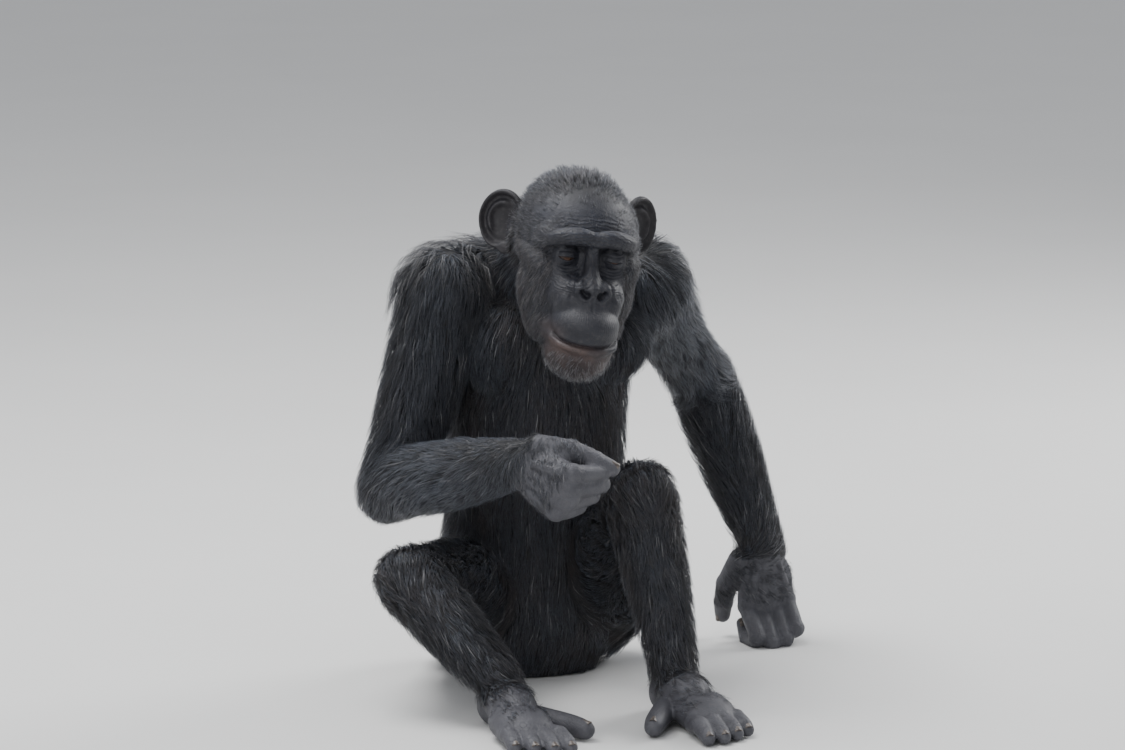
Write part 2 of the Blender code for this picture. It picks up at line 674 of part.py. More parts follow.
def make_body():
    """Trunk, neck, arms and legs fused whole, then parted at the shoulders, hips and each joint."""
    shapes = bmesh.new()
    add_torso(shapes)
    add_neck(shapes)
    add_ball(shapes, head_place((0, 0.0, 0.0)), (0.056, 0.070, 0.060))
    for side in SIGN:
        add_arm(shapes, side)
        add_leg(shapes, side)
    body = thinned(fused("body", shapes, BODY_VOXEL, 8), TRIANGLES["body"])
    skin = new_object("skin", body.data.copy())
    plates = []
    for side in SIGN:
        plates.append(cutting_disc(*SHOULDER_CUTS[side]))
        plates.append(cutting_disc(*HIP_CUTS[side]))
    combined(body, plates, "DIFFERENCE")
    anchors = {"trunk": (0, 0.10, 0.30)}
    for side in SIGN:
        anchors["arm_" + side] = ELBOWS[side]
        anchors["leg_" + side] = KNEES[side]
    pieces = split_by_island(body, anchors)
    made = []
    below, neck_and_head = parted(pieces["trunk"], CHEST_TO_NECK, "trunk", "neck_and_head")
    neck, stub = parted(neck_and_head, NECK_TO_HEAD, "neck", "stub")
    bpy.data.objects.remove(stub)
    grounded = kept_side(below, (0, 0, FLOOR), (0, 0, 1))
    bpy.data.objects.remove(below)
    made += [neck, *parted(grounded, WAIST, "abdomen", "chest")]
    for side in SIGN:
        along, _, _ = hand_frame(side)
        wrist_plane = bend_plane(ELBOWS[side], WRISTS[side], WRISTS[side] + along)
        upper, lower = parted(
            pieces["arm_" + side],
            bend_plane(SHOULDERS[side], ELBOWS[side], WRISTS[side]),
            "upper_arm_" + side,
            "forearm",
        )
        forearm, stub = parted(lower, wrist_plane, "forearm_" + side, "stub")
        bpy.data.objects.remove(stub)
        made += [upper, forearm]
        thigh, lower = parted(
            pieces["leg_" + side], bend_plane(HIPS[side], KNEES[side], ANKLES[side]), "thigh_" + side, "shin"
        )
        shin, stub = parted(lower, ankle_plane(side), "shin_" + side, "stub")
        bpy.data.objects.remove(stub)
        made += [thigh, shin]
    return made, skin


def surface(obj):
    """A search tree over the object's faces."""
    return BVHTree.FromPolygons(
        [v.co[:] for v in obj.data.vertices], [p.vertices[:] for p in obj.data.polygons], epsilon=0
    )


def lie_of_hair(node, spot):
    """The direction in which the hair of a sub-part lies at a point."""
    outward = math.copysign(1, spot.x)
    side = "left" if node.endswith("left") else "right"
    if node.startswith("upper_arm"):
        return ELBOWS[side] - SHOULDERS[side] + Vector((0, 0, -0.04))
    if node.startswith("forearm"):
        hang = -0.55 if side == "right" else 0.0
        return (ELBOWS[side] - WRISTS[side]).normalized() + Vector((0, 0.1, hang))
    if node.startswith("thigh"):
        return (KNEES[side] - HIPS[side]).normalized() + Vector((0, 0.1, -0.35))
    if node.startswith("shin"):
        return ANKLES[side] - KNEES[side]
    if node == "head":
        local = HEAD_TURN.transposed() @ (spot - HEAD_AT)
        if local.z < 0.020:
            return Vector((outward * 0.15, 0.55, -1))
        return Vector((local.x * 6, 1, 0.1 - 6 * max(0, local.y)))
    if node == "neck":
        return Vector((spot.x * 9, 1, -0.35))
    if node == "chest":
        return Vector((spot.x * 4, 0.25, -1))
    return Vector((spot.x * 2, -0.1, -1))


def hairy(node, spot, normal):
    """Whether long hair grows at a point: not on the face, ears, front of the throat or inner groin."""
    if node == "head":
        local = HEAD_TURN.transposed() @ (spot - HEAD_AT)
        crown = local.z > 0.046 and local.y > -0.050
        nape = local.y > 0.022
        cheek = abs(local.x) > 0.048 and -0.052 < local.y < -0.012 and -0.075 < local.z < -0.012
        return crown or nape or cheek
    if node == "neck":
        return normal.z > -0.1 and normal.y > -0.75
    if node in ("chest", "abdomen"):
        return normal.z > -0.80 and not (normal.y < -0.55 and spot.z < 0.13)
    if node.startswith("thigh"):
        return normal.z > -0.55
    if node.startswith("shin"):
        return spot.z > 0.075
    return True


def lock_of_hair(tree, node, root, size):
    """A flat blade that leaves the skin at its root and lies over it along the hair, tapering to its tip."""
    length, width = LOCK_LENGTH * size, LOCK_WIDTH * size
    step = length / len(LOCK_HEIGHTS)
    spot, normal = tree.find_nearest(root)[:2]
    rings = []
    ahead = None
    for height, wide in zip(LOCK_HEIGHTS, LOCK_WIDTHS):
        lie = lie_of_hair(node, spot)
        lie = (lie - normal * lie.dot(normal)).normalized()
        ahead = lie if ahead is None else (lie + ahead * 0.6).normalized()
        across = normal.cross(ahead).normalized() * width * wide / 2
        ring = []
        for edge in (-1, 1):
            near, its_normal = tree.find_nearest(spot + across * edge)[:2]
            lean = (its_normal + normal).normalized()
            ring.append(near + lean * (height - LOCK_THICKNESS * 0.35))
        ring.append(spot + normal * (height + LOCK_THICKNESS * 0.65))
        rings.append(ring)
        reach = tree.find_nearest(spot + ahead * step)
        if (reach[0] - spot).length < step * 0.5:
            return None
        spot = reach[0]
        normal = (reach[1] + normal).normalized()
    tip = spot + normal * (LOCK_HEIGHTS[-1] + 0.0015)
    points = [p for ring in rings for p in ring] + [tip]
    if min(p.z for p in points) < FLOOR + 0.003:
        return None
    faces = [(0, 1, 2)]
    for k in range(len(rings) - 1):
        a, b = 3 * k, 3 * k + 3
        for left, right in ((1, 0), (2, 1), (0, 2)):
            faces += [(a + left, a + right, b + right), (a + left, b + right, b + left)]
    last = 3 * (len(rings) - 1)
    end = len(points) - 1
    faces += [(last + 1, last, end), (last + 2, last + 1, end), (last, last + 2, end)]
    inside_out = sum(points[a].dot(points[b].cross(points[c])) for a, b, c in faces) < 0
    return points, [face[::-1] for face in faces] if inside_out else faces


def scattered_roots(obj, count, random):
    """Random points spread over the object's faces by their area."""
    obj.data.calc_loop_triangles()
    corners = np.array([[obj.data.vertices[v].co[:] for v in t.vertices] for t in obj.data.loop_triangles])
    edges = corners[:, 1:] - corners[:, :1]
    area = np.linalg.norm(np.cross(edges[:, 0], edges[:, 1]), axis=1)
    chosen = random.choice(len(area), count, p=area / area.sum())
    u, v = np.sqrt(random.random(count)), random.random(count)
    weights = np.stack([1 - u, u * (1 - v), u * v], axis=1)
    return np.einsum("nk,nkd->nd", weights, corners[chosen])


def grow_locks(objects, skins):
    """Fuses locks of hair on the coat of each sub-part, clear of every other sub-part and its locks."""
    random = np.random.default_rng(11)
    cores = {obj.name: surface(obj) for obj in objects}
    taken = {obj.name: [] for obj in objects}
    roots = []
    for skin_name, (skin, names) in skins.items():
        tree = surface(skin)
        for root in scattered_roots(skin, 5000, random):
            root = Vector(root)
            node = min(names, key=lambda name: cores[name].find_nearest(root)[3])
            spacing = LOCK_SPACING * (0.76 if node in ("head", "neck") else 1)
            if cores[node].find_nearest(root)[3] > 0.0008:
                continue
            if any((root - other).length < spacing for other in roots):
                continue
            spot, normal = tree.find_nearest(root)[:2]
            if not hairy(node, spot, normal):
                continue
            roots.append(root)
            size = 0.70 if node == "head" else 0.85 if node.startswith("shin") else 1
            size *= random.uniform(0.9, 1.12)
            blade = lock_of_hair(tree, node, root, size)
            if blade is None:
                continue
            if clear_of_others(blade, node, cores, taken):
                taken[node].append(blade)
    for obj in objects:
        if taken[obj.name]:
            wear_locks(obj, taken[obj.name])


def wear_locks(obj, blades):
    """Fuses the blades with the core. One that only just touches another is left out."""
    core = obj.data.copy()
    for left_out in range(-1, len(blades)):
        obj.data = core.copy()
        tools = []
        for k, (points, faces) in enumerate(blades):
            if k != left_out:
                mesh = bpy.data.meshes.new("lock")
                mesh.from_pydata([p[:] for p in points], [], faces)
                tools.append(new_object("lock", mesh))
        one_body(combined(obj, tools, "UNION", "MANIFOLD"))
        if is_sound(obj):
            return


def is_sound(obj):
    """Whether the surface is closed, touches itself at no vertex and has no two vertices almost as one."""
    work = bmesh.new()
    work.from_mesh(obj.data)
    closed = all(edge.is_manifold for edge in work.edges) and all(vert.is_manifold for vert in work.verts)
    before = len(work.verts)
    bmesh.ops.remove_doubles(work, verts=work.verts, dist=1e-6)
    apart = len(work.verts) == before
    work.free()
    return closed and apart


def clear_of_others(blade, node, cores, taken):
    """Whether a blade, made a little thicker, meets no other sub-part and no lock of another one."""
    points, faces = blade
    middle = sum(points, Vector()) / len(points)
    grown = []
    for k in range(0, len(points) - 1, 3):
        centre = (points[k] + points[k + 1] + points[k + 2]) / 3
        grown += [p + (p - centre).normalized() * LOCK_CLEARANCE for p in points[k : k + 3]]
    grown.append(points[-1] + (points[-1] - middle).normalized() * LOCK_CLEARANCE)
    tree = BVHTree.FromPolygons(grown, faces, epsilon=0)
    for name, core in cores.items():
        if name != node and tree.overlap(core):
            return False
    for name, blades in taken.items():
        if name == node:
            continue
        for other_points, other_faces in blades:
            if (sum(other_points, Vector()) / len(other_points) - middle).length > 0.12:
                continue
            if tree.overlap(BVHTree.FromPolygons(other_points, other_faces, epsilon=0)):
                return False
    return True


def ankle_plane(side):
    """The cut across the shin just above the ankle."""
    down = (ANKLES[side] - KNEES[side]).normalized()
    return ANKLES[side] - down * 0.022, down


def make_hand(side):
    """One hand, cut at the wrist and, where it leans on the floor, flat below."""
    shapes = bmesh.new()
    add_hand(shapes, side)
    name = "hand_" + side
    whole = fused("whole", shapes, FINE_VOXEL, 3)
    along, _, _ = hand_frame(side)
    point, towards = bend_plane(ELBOWS[side], WRISTS[side], WRISTS[side] + along)
    hand = kept_side(whole, point + towards * GAP / 2, towards, name)
    bpy.data.objects.remove(whole)
    return on_floor(thinned(hand, TRIANGLES["hand"]), name)


def make_foot(side):
    """One foot, flat on the floor."""
    shapes = bmesh.new()
    add_foot(shapes, side)
    name = "foot_" + side
    whole = fused("whole", shapes, FINE_VOXEL, 3)
    point, towards = ankle_plane(side)
    foot = kept_side(whole, point + towards * GAP / 2, towards, name)
    bpy.data.objects.remove(whole)
    return on_floor(thinned(foot, TRIANGLES["foot"]), name)


def on_floor(obj, name):
    """The object without what lies below the floor."""
    made = kept_side(obj, (0, 0, FLOOR), (0, 0, 1), name)
    bpy.data.objects.remove(obj)
    made.name = name
    return made


def centre_on_footprint(objects):
    """Moves the whole animal so that the middle of its bounding box stands over the origin."""
    corners = np.array([(o.matrix_world @ Vector(c))[:] for o in objects for c in o.bound_box])
    middle = (corners.min(0) + corners.max(0)) / 2
    for obj in objects:
        obj.data.transform(Matrix.Translation((-middle[0], -middle[1], 0)))


def main():
    """Builds every sub-part, gives it its material and puts it in the animal's collection."""
    remove_everything()
    made, skin = make_body()
    coated = [obj.name for obj in made]
    head, scalp = make_head()
    made.append(head)
    for side, sign in SIGN.items():
        made.append(make_hand(side))
        made.append(make_foot(side))
        made.append(make_ear("ear_" + side, sign, head))
        made.append(make_eye("eye_" + side, (sign * EYE_AT[0], *EYE_AT[1:])))
    grow_locks(made, {"body": (skin, coated), "head": (scalp, ["head"])})
    bpy.data.objects.remove(skin)
    bpy.data.objects.remove(scalp)
    bpy.context.view_layer.update()
    centre_on_footprint(made)
    coat = material("black_coat", BLACK_COAT, 0.75)
    skin = material("grey_skin", GREY_SKIN, 0.55)
    palm = material("hand_skin", HAND_SKIN, 0.50)
    iris = material("brown_eye", IRIS, 0.08)
    animal = collection("chimpanzee")
    for obj in made:
        kind = obj.name.split("_")[0]
        finish = {"head": skin, "ear": skin, "hand": palm, "foot": palm, "eye": iris}.get(kind, coat)
        obj.data.materials.clear()
        obj.data.materials.append(finish)
        obj.data.shade_smooth()
        for other in list(obj.users_collection):
            other.objects.unlink(obj)
        animal.objects.link(obj)


main()
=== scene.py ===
"""The looks of a life-size seated chimpanzee: one continuous skin, two eyes, nails and a coat of hair.

Everything is worked out in metres in the animal's own body frame, +Z up, facing -Y, its right side at -X,
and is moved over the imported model's origin when a mesh is made.
"""

from __future__ import annotations

import json
import logging
import math
from dataclasses import dataclass, field
from enum import Enum, IntEnum
from typing import Any, Sequence

import bmesh
import bpy
import numpy as np
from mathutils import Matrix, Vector
from mathutils.bvhtree import BVHTree

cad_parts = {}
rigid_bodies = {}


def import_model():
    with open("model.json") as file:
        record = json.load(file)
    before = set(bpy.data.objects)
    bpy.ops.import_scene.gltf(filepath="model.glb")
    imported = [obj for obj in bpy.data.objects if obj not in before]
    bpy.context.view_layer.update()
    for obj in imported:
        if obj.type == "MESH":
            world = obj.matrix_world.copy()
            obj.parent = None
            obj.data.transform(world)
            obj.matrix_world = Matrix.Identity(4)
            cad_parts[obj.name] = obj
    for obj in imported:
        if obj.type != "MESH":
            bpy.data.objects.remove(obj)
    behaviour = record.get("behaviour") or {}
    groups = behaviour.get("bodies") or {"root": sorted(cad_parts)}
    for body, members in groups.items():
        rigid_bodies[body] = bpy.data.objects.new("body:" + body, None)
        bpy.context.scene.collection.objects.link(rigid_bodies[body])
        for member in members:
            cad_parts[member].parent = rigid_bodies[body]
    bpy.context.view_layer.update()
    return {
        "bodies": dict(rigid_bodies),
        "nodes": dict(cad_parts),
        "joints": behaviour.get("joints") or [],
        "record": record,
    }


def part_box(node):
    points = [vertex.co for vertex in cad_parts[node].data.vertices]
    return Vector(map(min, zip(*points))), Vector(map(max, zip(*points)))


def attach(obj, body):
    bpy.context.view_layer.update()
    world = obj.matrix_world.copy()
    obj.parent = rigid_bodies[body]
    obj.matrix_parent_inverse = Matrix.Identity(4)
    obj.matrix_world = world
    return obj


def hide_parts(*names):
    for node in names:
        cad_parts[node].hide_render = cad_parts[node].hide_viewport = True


Array = np.ndarray
Point = Sequence[float]
Points = Sequence[Point]
Piece = bpy.types.Object
Mesh = bpy.types.Mesh
Material = bpy.types.Material
Named = dict[str, Array]
Chance = np.random.Generator
log = logging.getLogger("chimpanzee")
MOST_TRIANGLES = 199000
ROUND = 2 * math.pi
UP = (0, 0, 1.0)


class Side(Enum):
    """The animal's own right and left."""

    RIGHT = -1
    LEFT = 1

    @property
    def word(self) -> str:
        """The side's name as the model's nodes spell it."""
        return self.name.lower()


class Part(IntEnum):
    """The regions of the body that differ in coat and in how it lies."""

    HEAD = 0
    NECK = 1
    TRUNK = 2
    UPPER_ARM = 3
    FOREARM = 4
    HAND = 5
    THIGH = 6
    SHIN = 7
    FOOT = 8


@dataclass(frozen=True)
class Limb:
    """Three joints of one limb and its radii along the upper and the lower bone."""

    root: Point
    hinge: Point
    end: Point
    upper_radii: Point
    lower_radii: Point


ARMS = {
    Side.RIGHT: Limb(
        (-0.114, -0.05, 0.456), (-0.187, -0.08, 0.243), (-0.097, -0.3, 0.304),
        (0.044, 0.044, 0.04, 0.035, 0.032), (0.032, 0.035, 0.0335, 0.029, 0.0255),
    ),
    Side.LEFT: Limb(
        (0.112, -0.045, 0.456), (0.232, 0.11, 0.312), (0.3, 0.086, 0.112),
        (0.042, 0.038, 0.033, 0.03, 0.031), (0.032, 0.035, 0.0335, 0.029, 0.0255),
    ),
}
LEGS = {
    Side.RIGHT: Limb(
        (-0.07, 0.0, 0.09), (-0.188, -0.17, 0.148), (-0.11, -0.27, 0.05),
        (0.066, 0.061, 0.05, 0.042, 0.037), (0.035, 0.036, 0.033, 0.027, 0.0245),
    ),
    Side.LEFT: Limb(
        (0.07, 0.0, 0.09), (0.072, -0.2, 0.238), (0.092, -0.262, 0.05),
        (0.066, 0.061, 0.05, 0.042, 0.037), (0.035, 0.036, 0.033, 0.027, 0.0245),
    ),
}


def unit(vectors: Array) -> Array:
    """The vectors scaled to length one."""
    vectors = np.asarray(vectors, float)
    return vectors / np.maximum(np.linalg.norm(vectors, axis=-1, keepdims=True), 1e-12)


def ramp(low: float, high: float, value: Array) -> Array:
    """0 below low, 1 above high, and 3t^2 - 2t^3 between them."""
    t = np.clip((np.asarray(value, float) - low) / (high - low), 0, 1)
    return t * t * (3 - 2 * t)


def bell(away: Array, reach: float) -> Array:
    """e^-(away / reach)^2: 1 where away is 0, next to nothing past twice the reach."""
    return np.exp(-((away / reach) ** 2))


def packed(values: Array) -> Array:
    """The values as one row of single precision, as a mesh takes them."""
    return np.ascontiguousarray(values, np.float32).ravel()


def rotation(axis: str, degrees: float) -> Array:
    """The matrix of a right-hand turn.

    Args:
        axis: X, Y or Z.
        degrees: How far to turn.
    Returns:
        A 3 x 3 matrix.
    """
    c, s = math.cos(math.radians(degrees)), math.sin(math.radians(degrees))
    rows = {
        "X": [[1, 0, 0], [0, c, -s], [0, s, c]],
        "Y": [[c, 0, s], [0, 1, 0], [-s, 0, c]],
        "Z": [[c, -s, 0], [s, c, 0], [0, 0, 1]],
    }
    return np.array(rows[axis])


def smooth_path(points: Points, count: int) -> Array:
    """Points on the Catmull-Rom curve through the given ones.

    Args:
        points: Known points of any number of dimensions.
        count: How many points to return.
    Returns:
        An array of count rows.
    """
    known = np.array(points, float)
    padded = np.vstack([2 * known[0] - known[1], known, 2 * known[-1] - known[-2]])
    spots = np.linspace(0, len(known) - 1 - 1e-9, count)
    span = spots.astype(int)
    t = (spots - span)[:, None]
    a, b, c, d = (padded[span + k] for k in range(4))
    return 0.5 * (2 * b + (c - a) * t + (2 * a - 5 * b + 4 * c - d) * t**2 + (3 * b - a - 3 * c + d) * t**3)


def distance_to_path(points: Array, path: Points) -> Array:
    """How far each point is from the smooth line through a path's points.

    Args:
        points: The places to measure from.
        path: Two or more points of the line.
    Returns:
        The least distance of each point to the line's pieces.
    """
    line = smooth_path(path, 4 * len(path)) if len(path) > 2 else np.array(path, float)
    start, step = line[:-1], np.diff(line, axis=0)
    share = np.einsum("nkd,kd->nk", points[:, None] - start, step) / np.einsum("kd,kd->k", step, step)
    foot = start + np.clip(share, 0, 1)[..., None] * step
    return np.linalg.norm(points[:, None] - foot, axis=2).min(axis=1)


def lerp(a: Point, b: Point, share: float) -> Array:
    """The point that share of the way from a to b."""
    return np.array(a, float) * (1 - share) + np.array(b, float) * share


@dataclass
class Clay:
    """Closed shapes heaped on each other, to be fused into one skin."""

    points: list[Array] = field(default_factory=list)
    faces: list[Array] = field(default_factory=list)
    used: int = 0
    ball_around: int = 36
    ball_high: int = 22
    pole_gap: float = 0.05
    limb_around: int = 28
    limb_long: int = 26
    end_leans_deg: Point = (72, 48, 24)

    def grid(self, rings: Array) -> None:
        """Adds a closed shape from rings of points, each end closed by a fan.

        Args:
            rings: Rings x around x 3, each running the same way round.
        """
        count, around, _ = rings.shape
        number = np.arange(count * around).reshape(count, around)
        a, b = number[:-1], number[1:]
        quads = np.stack([a, np.roll(a, -1, 1), np.roll(b, -1, 1), b], axis=-1).reshape(-1, 4)
        low, high = count * around, count * around + 1
        first, last = number[0], number[-1]
        fans = np.concatenate([
            np.stack([np.full(around, low), np.roll(first, -1), first, first], axis=1),
            np.stack([np.full(around, high), last, np.roll(last, -1), np.roll(last, -1)], axis=1),
        ])
        ends = np.stack([rings[0].mean(0), rings[-1].mean(0)])
        self.points.append(np.concatenate([rings.reshape(-1, 3), ends]))
        self.faces.append(np.concatenate([quads, fans]) + self.used)
        self.used += count * around + 2

    def ball(self, centre: Point, radii: Point, axes: Array | None = None) -> None:
        """Adds an ellipsoid: centre + axes (radii * (cos a cos b, sin a cos b, sin b)).

        Args:
            centre: Its middle.
            radii: Half its size along each axis.
            axes: Its directions as columns, if not the body's.
        """
        turn = np.linspace(0, ROUND, self.ball_around, endpoint=False)
        most = math.pi / 2 - self.pole_gap
        lift = np.linspace(-most, most, self.ball_high)[:, None]
        unit_ball = np.stack(
            [np.cos(turn) * np.cos(lift), np.sin(turn) * np.cos(lift), np.sin(lift) + 0 * turn], axis=-1
        )
        frame = np.eye(3) if axes is None else np.asarray(axes)
        self.grid(np.array(centre, float) + (unit_ball * np.array(radii, float)) @ frame.T)

    def limb(self, path: Points, radii: Point, side: Point = (1, 0, 0), flat: float = 1.0) -> None:
        """Adds a limb: rings of the given radii carried along the smooth path, with domed ends.

        Args:
            path: Points along the middle.
            radii: One radius for each point.
            side: Where the section keeps its full radius.
            flat: How deep the section is against its width.
        """
        line = smooth_path([(*p, r) for p, r in zip(path, radii)], self.limb_long)
        middle, radius = line[:, :3], line[:, 3]
        ahead = unit(np.gradient(middle, axis=0))
        side_way = np.array(side, float)
        across = unit(side_way - ahead * (ahead @ side_way)[:, None])
        third = np.cross(ahead, across)
        lean = np.radians(self.end_leans_deg)
        ends = []
        for end, way, angles in ((0, -1, lean), (-1, 1, lean[::-1])):
            centre = middle[end] + way * ahead[end] * radius[end] * np.sin(angles)[:, None]
            ends.append((centre, radius[end] * np.cos(angles), end))
        centres = np.concatenate([ends[0][0], middle, ends[1][0]])
        sizes = np.concatenate([ends[0][1], radius, ends[1][1]])
        a, b = (
            np.concatenate([np.repeat(way[:1], len(lean), 0), way, np.repeat(way[-1:], len(lean), 0)])
            for way in (across, third)
        )
        turn = np.linspace(0, ROUND, self.limb_around, endpoint=False)[:, None]
        ring = np.cos(turn) * a[:, None] + flat * np.sin(turn) * b[:, None]
        self.grid(centres[:, None] + sizes[:, None, None] * ring)

    def fused(self, voxel: float, smoothing: int) -> Piece:
        """One closed skin round all the shapes.

        Args:
            voxel: The size of the skin's faces.
            smoothing: How often it is smoothed.
        Returns:
            A mesh object of quads.
        """
        mesh = mesh_of("clay", np.concatenate(self.points), np.concatenate(self.faces))
        obj = linked("clay", mesh)
        remesh = obj.modifiers.new("skin", "REMESH")
        remesh.mode = "VOXEL"
        remesh.voxel_size = voxel
        smooth = obj.modifiers.new("soften", "SMOOTH")
        smooth.factor = 0.5
        smooth.iterations = smoothing
        return applied(obj)


def mesh_of(name: str, points: Array, faces: Array) -> Mesh:
    """A mesh from arrays. A face of four whose last two corners agree is a triangle.

    Args:
        name: The mesh's name.
        points: Rows of coordinates.
        faces: Rows of three or four point numbers.
    Returns:
        The mesh, with its edges worked out.
    """
    mesh = bpy.data.meshes.new(name)
    sizes = np.full(len(faces), faces.shape[1], np.int32)
    keep = np.ones(faces.shape, bool)
    if faces.shape[1] == 4:
        keep[:, 3] = faces[:, 2] != faces[:, 3]
        sizes[:] = keep.sum(1)
    corners = faces[keep].astype(np.int32)
    mesh.vertices.add(len(points))
    mesh.vertices.foreach_set("co", packed(points))
    mesh.loops.add(len(corners))
    mesh.loops.foreach_set("vertex_index", corners)
    mesh.polygons.add(len(faces))
    mesh.polygons.foreach_set("loop_start", np.concatenate([[0], np.cumsum(sizes)[:-1]]).astype(np.int32))
    mesh.update(calc_edges=True)
    return mesh


def linked(name: str, data: Any) -> Piece:
    """A new object of the scene.

    Args:
        name: Its name.
        data: The mesh, light or camera that it shows.
    Returns:
        The object.
    """
    obj = bpy.data.objects.new(name, data)
    bpy.context.scene.collection.objects.link(obj)
    return obj


def applied(obj: Piece) -> Piece:
    """Turns an object's modifiers into its mesh.

    Args:
        obj: The object, which keeps its place in the scene.
    Returns:
        The same object.
    """
    graph = bpy.context.evaluated_depsgraph_get()
    made = bpy.data.meshes.new_from_object(obj.evaluated_get(graph))
    obj.modifiers.clear()
    old, obj.data = obj.data, made
    bpy.data.meshes.remove(old)
    return obj


def coordinates(mesh: Mesh, what: str = "co") -> Array:
    """One row of three for each point of a mesh.

    Args:
        mesh: The mesh.
        what: "co" for places, or "normal" for normals.
    Returns:
        Points x 3.
    """
    flat = np.empty(len(mesh.vertices) * 3, np.float32)
    mesh.vertices.foreach_get(what, flat)
    return flat.reshape(-1, 3).astype(float)


def triangles(mesh: Mesh) -> Array:
    """The triangles of a mesh.

    Args:
        mesh: The mesh.
    Returns:
        Rows of three point numbers.
    """
    mesh.calc_loop_triangles()
    corners = np.empty(len(mesh.loop_triangles) * 3, np.int32)
    mesh.loop_triangles.foreach_get("vertices", corners)
    return corners.reshape(-1, 3)


def set_coordinates(mesh: Mesh, points: Array) -> None:
    """Moves a mesh's points to the given rows."""
    mesh.vertices.foreach_set("co", packed(points))
    mesh.update()


def store(mesh: Mesh, name: str, values: Array) -> None:
    """Keeps numbers on the points of a mesh for its finish.

    Args:
        mesh: The mesh.
        name: The attribute's name.
        values: One number for each point, or a row of three.
    """
    kind, key = ("FLOAT", "value") if values.ndim == 1 else ("FLOAT_VECTOR", "vector")
    attribute = mesh.attributes.new(name, kind, "POINT")
    attribute.data.foreach_set(key, packed(values))


def weigh(obj: Piece, name: str, weights: Array) -> None:
    """Puts the points of an object in a new vertex group.

    Args:
        obj: The object.
        name: The group's name.
        weights: One for each point. A point of weight 0 stays out.
    """
    group = obj.vertex_groups.new(name=name)
    for weight in np.unique(weights[weights > 0]):
        group.add(np.flatnonzero(weights == weight).tolist(), float(weight), "REPLACE")


@dataclass(frozen=True)
class HeadFrame:
    """The head's own frame: it faces -Y, and its origin is midway between the ear holes."""

    at: Point = (0.004, -0.145, 0.516)
    turn_deg: float = -1.5
    tilt_deg: float = 7.5
    nod_deg: float = 5

    @property
    def axes(self) -> Array:
        """The head's directions as the columns of a matrix."""
        return rotation("Z", self.turn_deg) @ rotation("Y", self.tilt_deg) @ rotation("X", self.nod_deg)

    def out(self, local: Array) -> Array:
        """Body coordinates of points given in the head's own."""
        return np.array(self.at) + np.asarray(local, float) @ self.axes.T

    def into(self, points: Array) -> Array:
        """The head's own coordinates of points given in the body's."""
        return (np.asarray(points, float) - np.array(self.at)) @ self.axes


HEAD = HeadFrame()


@dataclass(frozen=True)
class Eye:
    """One eyeball in its socket, with how far the lids stand open above and below its middle."""

    centre: Point
    radius: float = 0.0116
    half_width: float = 0.01
    upper: float = 0.0022
    lower: float = 0.004


EYES = {
    Side.RIGHT: Eye((-0.0273, -0.0815, 0.0087), upper=0.0016, lower=0.003),
    Side.LEFT: Eye((0.0273, -0.0815, 0.0087), upper=-0.0006, lower=0.0021),
}


@dataclass
class Trunk:
    """The trunk, shoulders and neck.

    A section is its middle's y, height, half width and half depth, a neck row a point and a radius, and a
    muscle of the blade and chest a ball's middle and radii.
    """

    sections: Points = (
        (0.03, 0.000, 0.076, 0.071),
        (0.026, 0.045, 0.102, 0.09),
        (0.022, 0.095, 0.103, 0.097),
        (0.012, 0.16, 0.096, 0.094),
        (-0.002, 0.23, 0.093, 0.094),
        (-0.004, 0.3, 0.096, 0.095),
        (0.000, 0.36, 0.101, 0.094),
        (-0.002, 0.41, 0.099, 0.086),
        (-0.012, 0.45, 0.082, 0.07),
        (-0.03, 0.482, 0.056, 0.052),
    )
    neck: Points = (
        (0, -0.01, 0.44, 0.06), (0, -0.05, 0.476, 0.058), (0.006, -0.095, 0.5, 0.053),
        (0.011, -0.135, 0.515, 0.05),
    )
    blade_and_chest: Points = (
        (0.064, 0.044, 0.405, 0.042, 0.04, 0.066),
        (0.05, 0.026, 0.436, 0.056, 0.046, 0.044),
        (0.042, 0.036, 0.39, 0.05, 0.044, 0.075),
        (0.058, -0.074, 0.398, 0.056, 0.028, 0.046),
    )
    shoulder_radii: Point = (0.047, 0.051, 0.053)
    ridge_radii: Point = (0.044, 0.038, 0.038)
    seat_radii: Point = (0.064, 0.072, 0.066)
    rings: int = 44
    around: int = 56

    def model(self, clay: Clay) -> None:
        """Adds the trunk, the neck and the muscles.

        The trunk is an ellipse carried up along the middle line.

        Args:
            clay: The heap.
        """
        path = smooth_path(self.sections, self.rings)
        middle, height, half_width, half_depth = path.T[..., None]
        turn = np.linspace(0, ROUND, self.around, endpoint=False)
        x, y = half_width * np.cos(turn), middle + half_depth * np.sin(turn)
        clay.grid(np.stack([x, y, height + 0 * turn], axis=-1))
        clay.limb([p[:3] for p in self.neck], [p[3] for p in self.neck])
        for side, arm in ARMS.items():
            s = side.value
            shoulder = np.array(arm.root)
            clay.ball(shoulder + (s * 0.006, 0.004, -0.004), self.shoulder_radii)
            for x, y, z, *radii in self.blade_and_chest:
                clay.ball((s * x, y, z), radii)
            ridge = [(s * 0.02, -0.035, 0.47), (s * 0.07, -0.018, 0.466), shoulder + (0, 0.012, 0.004)]
            clay.limb(ridge, self.ridge_radii, side=(0, 1, 0))
            clay.ball((s * 0.06, 0.035, 0.068), self.seat_radii)


